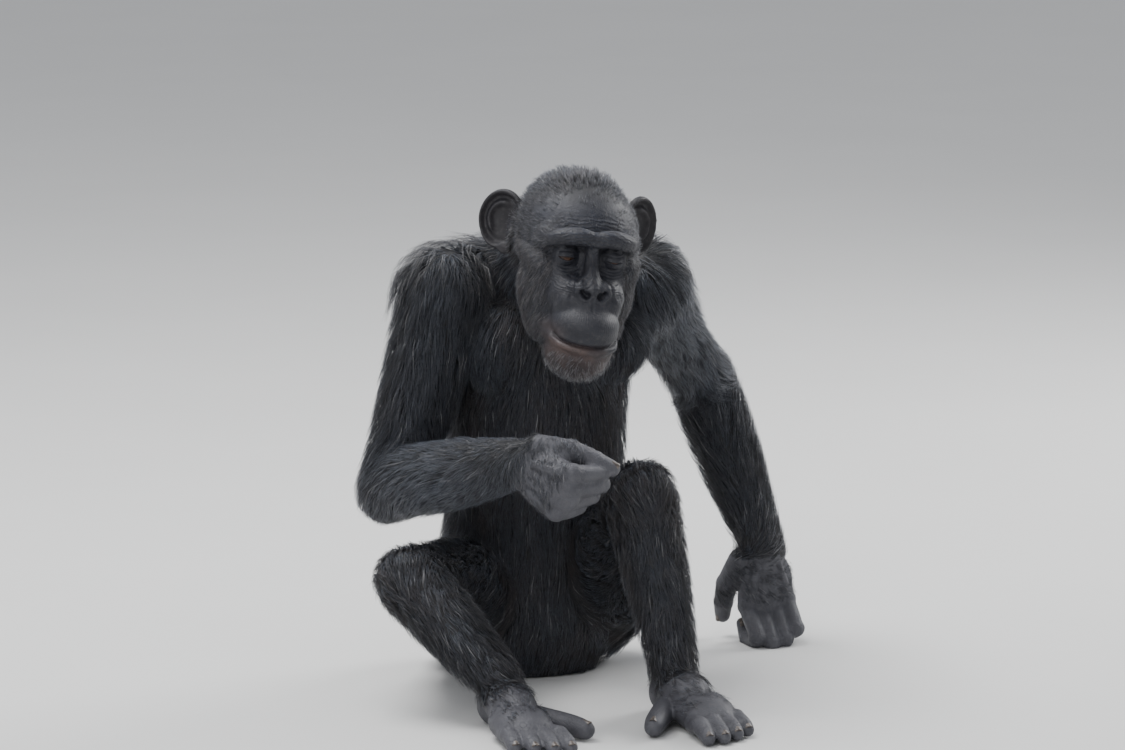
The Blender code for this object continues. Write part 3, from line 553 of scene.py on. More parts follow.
@dataclass
class LimbForm:
    """The upper and lower bone of an arm or leg with the bulge over its hinge."""

    limb: Limb
    side_upper: Point
    side_lower: Point
    hinge_radius: float
    hinge_out: float

    def model(self, clay: Clay) -> None:
        """Adds both bones as round limbs and a ball at the outside of the bend.

        Args:
            clay: The heap.
        """
        root, hinge, end = (np.array(p) for p in (self.limb.root, self.limb.hinge, self.limb.end))
        upper = [lerp(root, hinge, t) for t in (0, 0.25, 0.5, 0.75, 1)]
        clay.limb(upper, self.limb.upper_radii, side=self.side_upper)
        lower = [lerp(hinge, end, t) for t in (0, 0.2, 0.45, 0.75, 1)]
        clay.limb(lower, self.limb.lower_radii, side=self.side_lower)
        outside = unit(unit(hinge - root) - unit(end - hinge))
        clay.ball(hinge + outside * self.hinge_out, (self.hinge_radius,) * 3)


@dataclass
class Hand:
    """A hand from the wrist, in its own directions: along the palm, to the thumb, and out of its back."""

    side: Side
    palm: float = 0.072
    spread: Point = (0.026, 0.0088, -0.0088, -0.025)
    bones: Points = (
        (0.044, 0.032, 0.021), (0.049, 0.036, 0.022), (0.047, 0.034, 0.022), (0.04, 0.028, 0.02)
    )
    radius: float = 0.01

    @property
    def frame(self) -> Array:
        """The three directions as columns."""
        if self.side is Side.RIGHT:
            along, thumb = np.array([0.6, -0.68, -0.4]), np.array([0.05, -0.1, 0.99])
        else:
            along, thumb = np.array([0.06, -0.1, -0.993]), np.array([-0.985, -0.1, -0.05])
        along = unit(along)
        thumb = unit(thumb - along * (along @ thumb))
        return np.stack([along, thumb, np.cross(along, thumb) * -self.side.value], axis=1)

    def spot(self, local: Point) -> Array:
        """Body coordinates of a point given from the wrist."""
        return np.array(ARMS[self.side].end) + self.frame @ np.array(local, float)

    def finger(self, number: int) -> Array:
        """The joints of a finger from inside the palm to the tip.

        Args:
            number: Which finger, 0 for the index.
        Returns:
            Five points.
        """
        bends = (76, 78, 40) if self.side is Side.RIGHT else (-34, 118, 62)
        extra = 4 * number if self.side is Side.RIGHT else 0
        angles = np.radians(np.cumsum([bend + extra for bend in bends]))
        ways = np.stack([np.cos(angles), 0 * angles, -np.sin(angles)], axis=1)
        steps = ways * np.array(self.bones[number])[:, None]
        start = np.array([self.palm - 0.004 * abs(number - 1.2), self.spread[number], 0.001])
        local = np.vstack([start - (0.02, 0, 0), start, start + np.cumsum(steps, axis=0)])
        return np.array([self.spot(p) for p in local])

    def thumb(self) -> Array:
        """The joints of the thumb from the palm to the tip."""
        if self.side is Side.RIGHT:
            steps = ((0.85, 0.2, -0.48, 0.036), (0.86, -0.04, -0.5, 0.028), (0.74, -0.16, -0.65, 0.022))
        else:
            steps = ((0.8, 0.3, -0.5, 0.036), (0.88, 0.1, -0.45, 0.026), (0.9, -0.05, -0.45, 0.018))
        rows = np.array(steps)
        local = np.array([0.012, 0.027, -0.006]) + np.vstack(
            [np.zeros(3), np.cumsum(unit(rows[:, :3]) * rows[:, 3:], axis=0)]
        )
        return np.array([self.spot(p) for p in local])

    def model(self, clay: Clay) -> None:
        """Adds the wrist, palm, digits and tendons.

        Args:
            clay: The heap.
        """
        axes = self.frame
        clay.ball(self.spot((0.006, 0, 0)), (0.026, 0.0285, 0.0215), axes)
        clay.ball(self.spot((0.042, -0.001, 0)), (0.044, 0.0335, 0.0155), axes)
        clay.ball(self.spot((0.03, 0.022, -0.008)), (0.028, 0.015, 0.014), axes)
        for number in range(4):
            joints = self.finger(number)
            clay.limb(joints, [self.radius * s for s in (0.85, 1.0, 0.92, 0.86, 0.72)])
            for joint, size in zip(joints[1:4], (1.16, 1.08, 0.98)):
                clay.ball(joint + axes[:, 2] * 0.0006, (self.radius * size,) * 3)
            wrist = self.spot((0.012, self.spread[number] * 0.45, 0.0125))
            middle = self.spot((0.045, self.spread[number] * 0.8, 0.0125))
            clay.limb([wrist, middle, joints[1] + axes[:, 2] * 0.004], (0.0042, 0.0048, 0.0058))
        clay.limb(self.thumb(), (0.0138, 0.0128, 0.0114, 0.0094))
        for joint, size in zip(self.thumb()[1:3], (0.0142, 0.0122)):
            clay.ball(joint, (size,) * 3)


@dataclass
class Foot:
    """A foot flat on the floor, in its own directions: ahead, to its inner side, and up."""

    side: Side

    @property
    def frame(self) -> Array:
        """The three directions as columns."""
        ahead = unit(np.array([0.12, -0.993, 0] if self.side is Side.LEFT else [0.1, -0.995, 0]))
        inner = np.array([ahead[1], -ahead[0], 0]) * self.side.value
        return np.stack([ahead, inner, np.array([0, 0, 1.0])], axis=1)

    def spot(self, local: Point) -> Array:
        """Body coordinates of a point given from below the ankle."""
        ankle = np.array(LEGS[self.side].end)
        return np.array([ankle[0], ankle[1], 0]) + self.frame @ np.array(local, float)

    def toe(self, number: int) -> Array:
        """The joints of a small toe.

        Args:
            number: Which toe, 0 for the inner one.
        Returns:
            Four points.
        """
        spread, length = ((0.02, 0.05), (0.004, 0.054), (-0.012, 0.05), (-0.027, 0.042))[number]
        start = 0.104 - 0.005 * number
        shares, wider, heights = (0, 0.4, 0.8, 1), (1, 1.1, 1.18, 1.2), (0.014, 0.0165, 0.0125, 0.0085)
        local = [(start + length * t, spread * w, up) for t, w, up in zip(shares, wider, heights)]
        return np.array([self.spot(p) for p in local])

    def big_toe(self) -> Array:
        """The joints of the big toe, which stands off like a thumb."""
        local = ((0.03, 0.02, 0.017), (0.058, 0.04, 0.0155), (0.08, 0.055, 0.014), (0.094, 0.064, 0.012))
        return np.array([self.spot(p) for p in local])

    def model(self, clay: Clay) -> None:
        """Adds the heel with its cord, the instep, ball and toes.

        Args:
            clay: The heap.
        """
        axes = self.frame
        clay.ball(self.spot((-0.013, 0, 0.022)), (0.029, 0.0225, 0.024), axes)
        leg = LEGS[self.side]
        cord = [self.spot((-0.027, 0, 0.026)), self.spot((-0.017, 0, 0.05)), lerp(leg.end, leg.hinge, 0.3)]
        clay.limb(cord, (0.015, 0.0135, 0.018))
        clay.ball(self.spot((0.03, 0, 0.03)), (0.05, 0.0265, 0.0255), axes)
        clay.ball(self.spot((0.072, -0.004, 0.019)), (0.052, 0.0335, 0.022), axes)
        for number in range(4):
            joints = self.toe(number)
            clay.limb(joints, (0.011, 0.0098, 0.0092, 0.0082))
            clay.ball(joints[1], (0.0108,) * 3)
        clay.limb(self.big_toe(), (0.015, 0.0136, 0.0126, 0.011))


@dataclass
class Ear:
    """One ear: a cupped leaf with a rolled rim and an inner fold."""

    side: Side
    outwards: Point
    rise: float
    half_width: float = 0.0278
    half_height: float = 0.0335
    reach: float = 0.0235
    lift: float = 0.012
    front_dish: float = 0.0085
    back_dish: float = 0.0112
    rim_height: float = 0.0058
    fold_height: float = 0.0062
    edge: float = 1.035
    slab: Point = (0.006, 0.056, 0.04, 0.018)

    def frame(self) -> tuple[Array, Array]:
        """The root, and the directions outwards, up and out of the cup as columns."""
        s = self.side.value
        out = HEAD.axes @ unit(np.array(self.outwards))
        up = unit(HEAD.axes @ np.array([s * -0.1, 0.05, 1.0]))
        out = unit(out - up * (out @ up))
        return HEAD.out((s * 0.063, 0.006, self.rise)), np.stack([out, up, np.cross(out, up) * s], axis=1)

    def surface(self, r: Array, t: Array, front: bool) -> Array:
        """A side of the leaf. Its height is a dish, a rolled rim and a fold inside it.

        Args:
            r: How far from the middle, 0 to 1.
            t: The angle round, 0 outwards and a quarter turn upwards.
            front: Whether this is the hollow side.
        Returns:
            Body coordinates.
        """
        root, axes = self.frame()
        width = self.half_width * (1 - 0.1 * np.maximum(0, -np.sin(t)))
        x = self.reach + width * r * np.cos(t)
        y = self.lift + self.half_height * r * np.sin(t)
        rim = ramp(-0.97, -0.6, np.cos(t))
        cupped = 0.62 - 0.38 * r * np.cos(t)
        if front:
            height = -self.front_dish * cupped * (1 - r**2) + self.rim_height * rim * bell(r - 0.93, 0.085)
            height = height - 0.0022 * rim * bell(r - 0.76, 0.07)
            fold = ramp(-0.75, -0.1, np.sin(t + 0.6)) * ramp(-0.6, 0.1, np.cos(t))
            height = height + self.fold_height * fold * bell(r - 0.55, 0.09)
            height = height - 0.001 * bell(r, 0.3)
        else:
            height = -0.0036 - self.back_dish * cupped * np.maximum(0, 1 - r**2) ** 0.8
        return root + np.stack([x, y, height], axis=-1) @ axes.T

    def model(self, clay: Clay) -> None:
        """Adds the leaf as one closed shape, with the lobe, the flap and the root.

        Args:
            clay: The heap.
        """
        turn = np.linspace(0, ROUND, 64, endpoint=False)
        r, t = np.meshgrid(np.linspace(0.03, 1, 22), turn, indexing="ij")
        edge = np.full((1, 64), self.edge)
        middle = self.surface(edge, t[:1], True) * 0.5 + self.surface(edge, t[:1], False) * 0.5
        clay.grid(np.concatenate([self.surface(r, t, True), middle, self.surface(r[::-1], t, False)]))
        root, axes = self.frame()
        knobs = (
            ((0.012, -0.018, 0.0005), (0.0095, 0.0078, 0.0048)),
            ((0.004, 0.000, 0.0055), (0.0058, 0.0065, 0.005)),
            ((0.001, 0.01, -0.003), (0.013, 0.024, 0.01)),
        )
        for local, radii in knobs:
            clay.ball(root + axes @ np.array(local), radii, axes)

    def holds(self, points: Array) -> Array:
        """Whether points lie in the slab of space that the ear takes up.

        Args:
            points: Body coordinates.
        Returns:
            True or false for each point.
        """
        root, axes = self.frame()
        out, up, face = ((points - root) @ axes).T
        near, far, half_height, half_depth = self.slab
        return (out > near) & (out < far) & (np.abs(up - 0.01) < half_height) & (np.abs(face) < half_depth)


EARS = {
    Side.RIGHT: Ear(Side.RIGHT, (-0.74, 0.66, 0.08), 0.008),
    Side.LEFT: Ear(Side.LEFT, (0.78, 0.62, 0.08), 0.015),
}


def near_ears(points: Array) -> Array:
    """Whether points of the body lie in the slab of either ear."""
    return EARS[Side.RIGHT].holds(points) | EARS[Side.LEFT].holds(points)


# A groove of the skin, or a ridge where its depth is below 0: its path, its reach and its depth.
Stroke = tuple[list[Point], float, float]


@dataclass
class Head:
    """The skull, brow, cheeks, nose, lips and jaw, in the head's own frame.

    Grooves and folds are drawn as (x, z) points seen from the front, then laid on the skin.
    """

    mouth: Points = (
        (-0.0375, -0.0722), (-0.032, -0.0755), (-0.018, -0.0785), (0, -0.0795),
        (0.018, -0.0785), (0.032, -0.0755), (0.0375, -0.0722),
    )
    cranium: Points = ((0, -0.01, 0.024), (0.0672, 0.078, 0.06))
    skull_base: Points = ((0, 0.02, 0.004), (0.056, 0.046, 0.044))
    brow: Points = (
        (-0.0535, -0.057, 0.016), (-0.041, -0.086, 0.029), (-0.019, -0.0975, 0.035),
        (0, -0.098, 0.0325),
        (0.019, -0.0975, 0.035), (0.041, -0.086, 0.029), (0.0535, -0.057, 0.016),
    )
    brow_radii: Point = (0.0072, 0.0098, 0.0102, 0.009, 0.0102, 0.0098, 0.0072)
    nose: Points = (
        (0, -0.092, 0.022), (0, -0.0985, 0.004), (0, -0.112, -0.0105), (0, -0.124, -0.0205),
    )
    nose_radii: Point = (0.007, 0.0078, 0.009, 0.0078)
    middle_masses: Sequence[Points] = (
        ((0, -0.06, -0.012), (0.045, 0.034, 0.046)),  # between the cheeks
        ((0, -0.092, -0.036), (0.036, 0.04, 0.032)),  # upper muzzle
        ((0, -0.108, -0.06), (0.0385, 0.042, 0.026)),  # upper lip
        ((0, -0.108, -0.079), (0.04, 0.0385, 0.017)),  # where the lips meet
        ((0, -0.11, -0.091), (0.0345, 0.034, 0.018)),  # lower lip
        ((0, -0.089, -0.094), (0.0372, 0.05, 0.0325)),  # chin
        ((0, -0.052, -0.074), (0.047, 0.046, 0.03)),  # floor of the jaw
    )
    side_masses: Sequence[Points] = (
        ((0.045, -0.056, -0.006), (0.02, 0.03, 0.019)),  # cheekbone
        ((0.0335, -0.042, -0.034), (0.03, 0.05, 0.05)),  # chewing muscle
        ((0.032, -0.05, -0.07), (0.0215, 0.05, 0.027)),  # jaw
        ((0.0285, -0.073, -0.016), (0.0215, 0.023, 0.025)),  # below the eye
        ((0.04, -0.064, 0.026), (0.019, 0.024, 0.0165)),  # temple behind the brow
        ((0.0273, -0.0785, 0.0095), (0.0155, 0.0145, 0.015)),  # round the eyeball
        ((0.0148, -0.1165, -0.019), (0.014, 0.012, 0.0098)),  # wing of the nose
        ((0.024, -0.096, -0.034), (0.019, 0.028, 0.024)),  # side of the muzzle
    )
    masses_before_arch: int = 5
    cheek_arch: Points = ((0.054, -0.055, -0.003), (0.058, -0.025, 0.0), (0.054, 0.002, 0.004))
    arch_radii: Point = (0.012, 0.011, 0.012)
    face_behind: float = -0.045
    face_half_width: float = 0.062

    def ball(self, clay: Clay, local: Point, radii: Point) -> None:
        """Adds an ellipsoid that lines up with the head."""
        clay.ball(HEAD.out(local), radii, HEAD.axes)

    def bar(self, clay: Clay, path: Points, radii: Point, side: Point = (1, 0, 0)) -> None:
        """Adds a round limb along points of the head's frame."""
        clay.limb([HEAD.out(p) for p in path], radii, side=side)

    def model(self, clay: Clay) -> None:
        """Adds the masses of the head. Lids and folds come later.

        Args:
            clay: The heap.
        """
        self.ball(clay, *self.cranium)
        self.ball(clay, *self.skull_base)
        self.bar(clay, self.brow, self.brow_radii, side=(0, 0, 1))
        for centre, radii in self.middle_masses:
            self.ball(clay, centre, radii)
        self.bar(clay, self.nose, self.nose_radii)
        for s in (-1, 1):
            for k, ((x, y, z), radii) in enumerate(self.side_masses):
                if k == self.masses_before_arch:
                    self.bar(clay, [(s * a, b, c) for a, b, c in self.cheek_arch], self.arch_radii)
                self.ball(clay, (s * x, y, z), radii)

    def strokes(self) -> list[Stroke]:
        """The larger grooves and ridges, first those of the middle."""
        lips = self.mouth[1:-1]
        strokes: list[Stroke] = [
            (list(self.mouth), 0.0022, 0.0046),
            ([(x, z + 0.0062) for x, z in lips], 0.0042, -0.0016),
            ([(x, z - 0.0062) for x, z in lips], 0.0042, -0.0022),
            ([(x * 0.8, z - 0.014) for x, z in lips], 0.0045, 0.0016),
            ([(0, -0.018), (0, -0.028), (0, -0.04)], 0.002, 0.0011),
            ([(0, -0.004), (0, -0.012)], 0.0016, 0.0006),
            ([(-0.0035, 0.033), (0, 0.0315), (0.0035, 0.033)], 0.004, 0.0016),
        ]
        for s in (-1, 1):
            strokes += [
                ([(s * 0.008, -0.0245), (s * 0.013, -0.0218)], 0.0032, 0.0078),
                ([(s * 0.0045, -0.0315), (s * 0.0115, -0.033), (s * 0.02, -0.0285)], 0.0024, 0.0015),
                ([(s * 0.012, -0.006), (s * 0.0215, -0.014), (s * 0.025, -0.028)], 0.003, 0.0026),
                ([(s * 0.006, -0.004), (s * 0.011, -0.013)], 0.0026, 0.0008),
                ([(s * 0.0135, 0.001), (s * 0.015, 0.017)], 0.004, 0.0026),
                ([(s * 0.03, -0.023), (s * 0.041, -0.042), (s * 0.0435, -0.062)], 0.005, 0.0018),
                ([(s * 0.0385, -0.0705), (s * 0.044, -0.0745), (s * 0.044, -0.082)], 0.0034, 0.0012),
                ([(s * 0.01, 0.0195), (s * 0.027, 0.0225), (s * 0.042, 0.018)], 0.0034, 0.003),
            ]
        return strokes

    def folds(self) -> list[Stroke]:
        """The fine wrinkles: round each eye, down the cheek, and across the brow.

        Returns:
            Grooves, with a little chance in them.
        """
        folds: list[Stroke] = []
        chance = np.random.default_rng(9)
        for s in (-1, 1):
            for k in range(6):
                reach = 0.0135 + 0.004 * k + chance.uniform(-0.0006, 0.0006)
                start, stop = 215 + 5 * k + chance.uniform(-8, 8), 322 + 4 * k + chance.uniform(-10, 10)
                angles = np.radians(np.linspace(start, stop, 7))
                path = [(s * (0.027 + math.cos(a) * reach * 1.15), 0.0087 + math.sin(a) * reach * 0.86)
                        for a in angles]
                folds.append((path, 0.001, 0.0011 - 0.00012 * k))
            for k in range(4):
                tilt = math.radians(-34 + 20 * k + chance.uniform(-5, 5))
                start = np.array([s * 0.0405, 0.008 - 0.001 * k])
                step = np.array([s * math.cos(tilt), math.sin(tilt)]) * 0.012
                folds.append(([tuple(start), tuple(start + step / 2), tuple(start + step)], 0.001, 0.0007))
            for k in range(4):
                wave = chance.uniform(-0.001, 0.001, 3)
                folds.append((
                    [(s * (0.027 + 0.0042 * k) + wave[0], -0.018 - 0.002 * k),
                     (s * (0.0345 + 0.0038 * k) + wave[1], -0.038),
                     (s * (0.037 + 0.003 * k) + wave[2], -0.06)], 0.0011, 0.0005,
                ))
            for k in range(9):
                x = s * (0.003 + 0.0052 * k) + chance.uniform(-0.0012, 0.0012)
                rise = 0.0355 - 0.0009 * k
                length = 0.008 + chance.uniform(-0.002, 0.002)
                folds.append(([(x, rise - length / 2), (x + s * 0.0012, rise + length / 2)], 0.0009, 0.0006))
        for k in range(3):
            rise = 0.044 + 0.0045 * k
            folds.append((
                [(x, rise - 0.004 * (x / 0.045) ** 2 + chance.uniform(-0.0006, 0.0006))
                 for x in np.linspace(-0.036, 0.036, 8)], 0.0011, 0.00045,
            ))
        return folds

    def laid(self, local: Array, path: Points) -> Array:
        """A drawn path's (x, z) points with the depth of the foremost skin there.

        Args:
            local: The face's points in the head's own frame.
            path: Points as seen from the front.
        Returns:
            Rows of x, y and z.
        """
        flat = np.array(path, float)
        away = np.hypot(local[None, :, 0] - flat[:, :1], local[None, :, 2] - flat[:, 1:])
        nearest = np.argmin(away + 0.05 * (local[None, :, 1] + 0.2), axis=1)
        return np.stack([flat[:, 0], local[nearest, 1], flat[:, 1]], axis=1)

    def carve(self, local: Array, normals: Array) -> Array:
        """The points after every groove and fold: each moves them in by depth e^-(away / reach)^2.

        Args:
            local: Points in the head's own frame.
            normals: Their normals in the same frame.
        Returns:
            The moved points.
        """
        moved = local.copy()
        in_face = (local[:, 1] < self.face_behind) & (np.abs(local[:, 0]) < self.face_half_width)
        face = np.flatnonzero(in_face)
        front = local[face]
        for drawn, reach, depth in self.strokes() + self.folds():
            path = self.laid(front[::5], drawn)
            margin = 3 * reach + 0.003
            low, high = path.min(axis=0) - margin, path.max(axis=0) + margin
            near = face[((front > low) & (front < high)).all(axis=1)]
            if len(near):
                weight = bell(distance_to_path(local[near], path), reach)
                moved[near] -= normals[near] * (depth * weight)[:, None]
        return moved

    def lids(self, local: Array) -> Array:
        """The points with lids laid over each eyeball.

        Over the eye the skin's depth is that of a ball a little larger than the eyeball. Between the lid
        edges, two parabolas, it drops behind the eyeball's front.

        Args:
            local: Points in the head's own frame.
        Returns:
            The moved points.
        """
        moved = local.copy()
        for eye in EYES.values():
            x, y, z = eye.centre
            u, v = local[:, 0] - x, local[:, 2] - z
            away = np.hypot(u, v * 1.08)
            near = (away < 0.019) & (local[:, 1] < y + 0.008)
            shell = eye.radius + 0.0015
            front = y - np.sqrt(shell**2 - np.minimum(away, shell * 0.82) ** 2)
            hold = 1 - ramp(0.0095, 0.0175, away)
            depth = moved[:, 1] * (1 - hold) + front * hold
            bow = 1 - (u / eye.half_width) ** 2
            above, below = eye.upper * bow, -eye.lower * bow
            margin = np.minimum(above - v, v - below)
            lip = bell(margin + 0.0009, 0.0009) * (away < 0.0125)
            crease = bell(v - above - 0.0058, 0.0011) * ramp(0.014, 0.009, np.abs(u))
            bag = bell(v - below + 0.0055, 0.0022) * ramp(0.014, 0.008, np.abs(u))
            depth = depth - 0.0006 * lip + 0.0011 * crease * hold - 0.0006 * bag
            depth = depth + 0.007 * ramp(-0.0001, 0.0009, margin) * (bow > 0)
            moved[near, 1] = depth[near]
        return moved


@dataclass(frozen=True)
class Bone:
    """A straight piece that stands for a part of the body, with its radius at each end."""

    part: Part
    side: Side | None
    start: Array
    end: Array
    first: float
    last: float


@dataclass
class Bones:
    """Straight pieces that tell which part of the body a point belongs to."""

    rows: list[Bone] = field(default_factory=list)

    @classmethod
    def of_animal(cls) -> Bones:
        """The pieces of the whole animal."""
        bones = cls()
        add = bones.add
        add(Part.HEAD, None, HEAD.out((0, -0.075, -0.045)), HEAD.out((0, 0.02, 0.02)), 0.05, 0.062)
        add(Part.NECK, None, (0.008, -0.1, 0.5), (0, -0.055, 0.48), 0.05, 0.055)
        for low, high, wide in ((0.05, 0.2, 0.1), (0.2, 0.34, 0.095), (0.34, 0.445, 0.09)):
            add(Part.TRUNK, None, (0, 0.015, low), (0, -0.004, high), wide, wide)
        for side in Side:
            arm, leg = ARMS[side], LEGS[side]
            hand, foot = Hand(side), Foot(side)
            add(Part.UPPER_ARM, side, arm.root, arm.hinge, 0.048, 0.033)
            add(Part.FOREARM, side, arm.hinge, arm.end, 0.036, 0.026)
            add(Part.HAND, side, hand.spot((0.02, 0, 0)), hand.spot((0.085, 0, -0.015)), 0.026, 0.034)
            add(Part.HAND, side, hand.spot((0.03, 0.03, -0.01)), hand.thumb()[-1], 0.015, 0.012)
            add(Part.THIGH, side, lerp(leg.root, leg.hinge, 0.3), leg.hinge, 0.058, 0.038)
            add(Part.SHIN, side, leg.hinge, leg.end, 0.036, 0.026)
            add(Part.FOOT, side, foot.spot((-0.02, 0, 0.018)), foot.spot((0.13, 0, 0.012)), 0.024, 0.03)
            add(Part.FOOT, side, foot.spot((0.04, 0.03, 0.015)), foot.big_toe()[-1], 0.015, 0.012)
        return bones

    def add(self, part: Part, side: Side | None, start: Point, end: Point, *radii: float) -> None:
        """Adds one piece, with its ends as arrays."""
        self.rows.append(Bone(part, side, np.array(start, float), np.array(end, float), *radii))

    def gaps(self, points: Array) -> Array:
        """How far each point is outside each piece.

        Args:
            points: Body coordinates.
        Returns:
            Pieces x points.
        """
        gaps = []
        for bone in self.rows:
            step = bone.end - bone.start
            share = np.clip((points - bone.start) @ step / (step @ step), 0, 1)
            gap = np.linalg.norm(points - bone.start - share[:, None] * step, axis=1)
            gaps.append(gap - bone.first * (1 - share) - bone.last * share)
        return np.array(gaps)

    def parts(self, number: Array) -> Array:
        """The value of the part that each piece number stands for."""
        return np.array([bone.part for bone in self.rows])[number]

    def sides(self, number: Array) -> Array:
        """-1, 1 or 0 for a piece number on the right, on the left or in the middle."""
        return np.array([0 if bone.side is None else bone.side.value for bone in self.rows])[number]

    def nearest(self, points: Array) -> Array:
        """The number of the piece that each point lies on."""
        return np.argmin(self.gaps(points), axis=0)


@dataclass
class Skin:
    """The whole animal's skin as one continuous surface."""

    voxel: float = 0.0017
    quick_voxel: float = 0.0028
    smoothing: int = 5
    face_smoothing: int = 24
    head_reach: float = 0.22
    triangles: int = 185000
    thin_factor: float = 0.00004

    def build(self) -> Piece:
        """Fuses the masses, carves the face, and flattens and thins the rest.

        Returns:
            The skin.
        """
        clay = Clay()
        Trunk().model(clay)
        for side in Side:
            lower = (0, 0, 1) if side is Side.RIGHT else (0, 1, 0)
            LimbForm(ARMS[side], (0, 1, 0), lower, 0.03, 0.012).model(clay)
            LimbForm(LEGS[side], (1, 0, 0), (1, 0, 0), 0.0345, 0.006).model(clay)
            Hand(side).model(clay)
            Foot(side).model(clay)
            EARS[side].model(clay)
            log.info("modelled the %s limbs and ear", side.word)
        head = Head()
        head.model(clay)
        obj = clay.fused(self.voxel, self.smoothing)
        log.info("fused the skin: %d points", len(obj.data.vertices))
        self.soften_face(obj)
        for fine in (False, True):
            self.refine_face(obj, head, fine)
        self.carve_face(obj, head)
        self.flatten_on_floor(obj)
        self.thin(obj)
        obj.name = obj.data.name = "skin"
        return obj

    def soften_face(self, obj: Piece) -> None:
        """Blends the masses of the muzzle and cheeks.

        Args:
            obj: The skin.
        """
        x, y, z = HEAD.into(coordinates(obj.data)).T
        front = ramp(-0.03, -0.05, y) * ramp(0.075, 0.06, np.abs(x)) * ramp(-0.2, -0.18, y)
        nose = np.exp(-(np.hypot(x / 0.022, (z + 0.018) / 0.02) ** 4)) * ramp(-0.105, -0.115, y)
        soft = front * ramp(0.01, -0.006, z) * (1 - 0.8 * nose) * ramp(-0.15, -0.13, z)
        weigh(obj, "soft", np.round(soft, 1))
        smooth = obj.modifiers.new("soft", "SMOOTH")
        smooth.vertex_group = "soft"
        smooth.factor = 0.5
        smooth.iterations = self.face_smoothing
        applied(obj)
        obj.vertex_groups.clear()

    def refine_face(self, obj: Piece, head: Head, fine: bool) -> None:
        """Splits faces of the front of the head into four.

        Args:
            obj: The skin.
            head: The head, for where its mouth runs.
            fine: Whether only the lids, nostrils and mouth are split.
        """
        work = bmesh.new()
        work.from_mesh(obj.data)
        points = HEAD.into(coordinates(obj.data))
        x, y, z = points.T
        if fine:
            by_eye = (np.abs(np.abs(x) - 0.029) < 0.018) & (np.abs(z - 0.0155) < 0.012) & (y < -0.078)
            by_nose = (np.abs(x) < 0.022) & (np.abs(z + 0.024) < 0.01) & (y < -0.112)
            chosen = by_eye | by_nose
            lips = np.flatnonzero((np.abs(x) < 0.044) & (np.abs(z + 0.075) < 0.014) & (y < -0.09))
            chosen[lips] |= distance_to_path(points[lips], head.laid(points[lips], head.mouth)) < 0.006
        else:
            chosen = (np.abs(x) < 0.066) & (y < -0.052) & (y > -0.18) & (z > -0.118) & (z < 0.05)
        edges = [e for e in work.edges if chosen[e.verts[0].index] and chosen[e.verts[1].index]]
        bmesh.ops.subdivide_edges(work, edges=edges, cuts=1, use_grid_fill=True, smooth=0.0)
        work.to_mesh(obj.data)
        work.free()

    def carve_face(self, obj: Piece, head: Head) -> None:
        """Moves the points of the head for its folds and lids.

        Args:
            obj: The skin.
            head: The head that says how they move.
        """
        points, normals = coordinates(obj.data), coordinates(obj.data, "normal")
        near = np.flatnonzero(np.linalg.norm(points - np.array(HEAD.at), axis=1) < self.head_reach)
        local = head.carve(HEAD.into(points[near]), normals[near] @ HEAD.axes)
        points[near] = HEAD.out(head.lids(local))
        set_coordinates(obj.data, points)

    def flatten_on_floor(self, obj: Piece) -> None:
        """Presses what lies below the floor up to it.

        Args:
            obj: The skin.
        """
        points = coordinates(obj.data)
        points[:, 2] = np.maximum(points[:, 2], 0.0)
        set_coordinates(obj.data, points)

    def thin(self, obj: Piece) -> None:
        """Collapses flat faces until few enough are left: first under the coat, last in the face.

        Args:
            obj: The skin.
        """
        points = coordinates(obj.data)
        bones = Bones.of_animal()
        bare = np.isin(bones.parts(bones.nearest(points)), (Part.HAND, Part.FOOT))
        x, y, z = HEAD.into(points).T
        ears = (np.abs(x) > 0.066) & (np.abs(y - 0.02) < 0.06) & (np.abs(z - 0.02) < 0.06)
        face = (np.abs(x) < 0.064) & (y < -0.054) & (y > -0.18) & (z > -0.116) & (z < 0.048)
        weigh(obj, "thin", np.where(face, 0.25, np.where(bare | ears, 0.5, 1.0)))
        mesh = obj.data
        mesh.calc_loop_triangles()
        decimate = obj.modifiers.new("thin", "DECIMATE")
        decimate.ratio = min(1.0, self.triangles / len(mesh.loop_triangles))
        decimate.vertex_group = "thin"
        decimate.vertex_group_factor = self.thin_factor
        log.info("thinning %d triangles; %d points are in the face", len(mesh.loop_triangles), face.sum())
        applied(obj)
        obj.vertex_groups.clear()

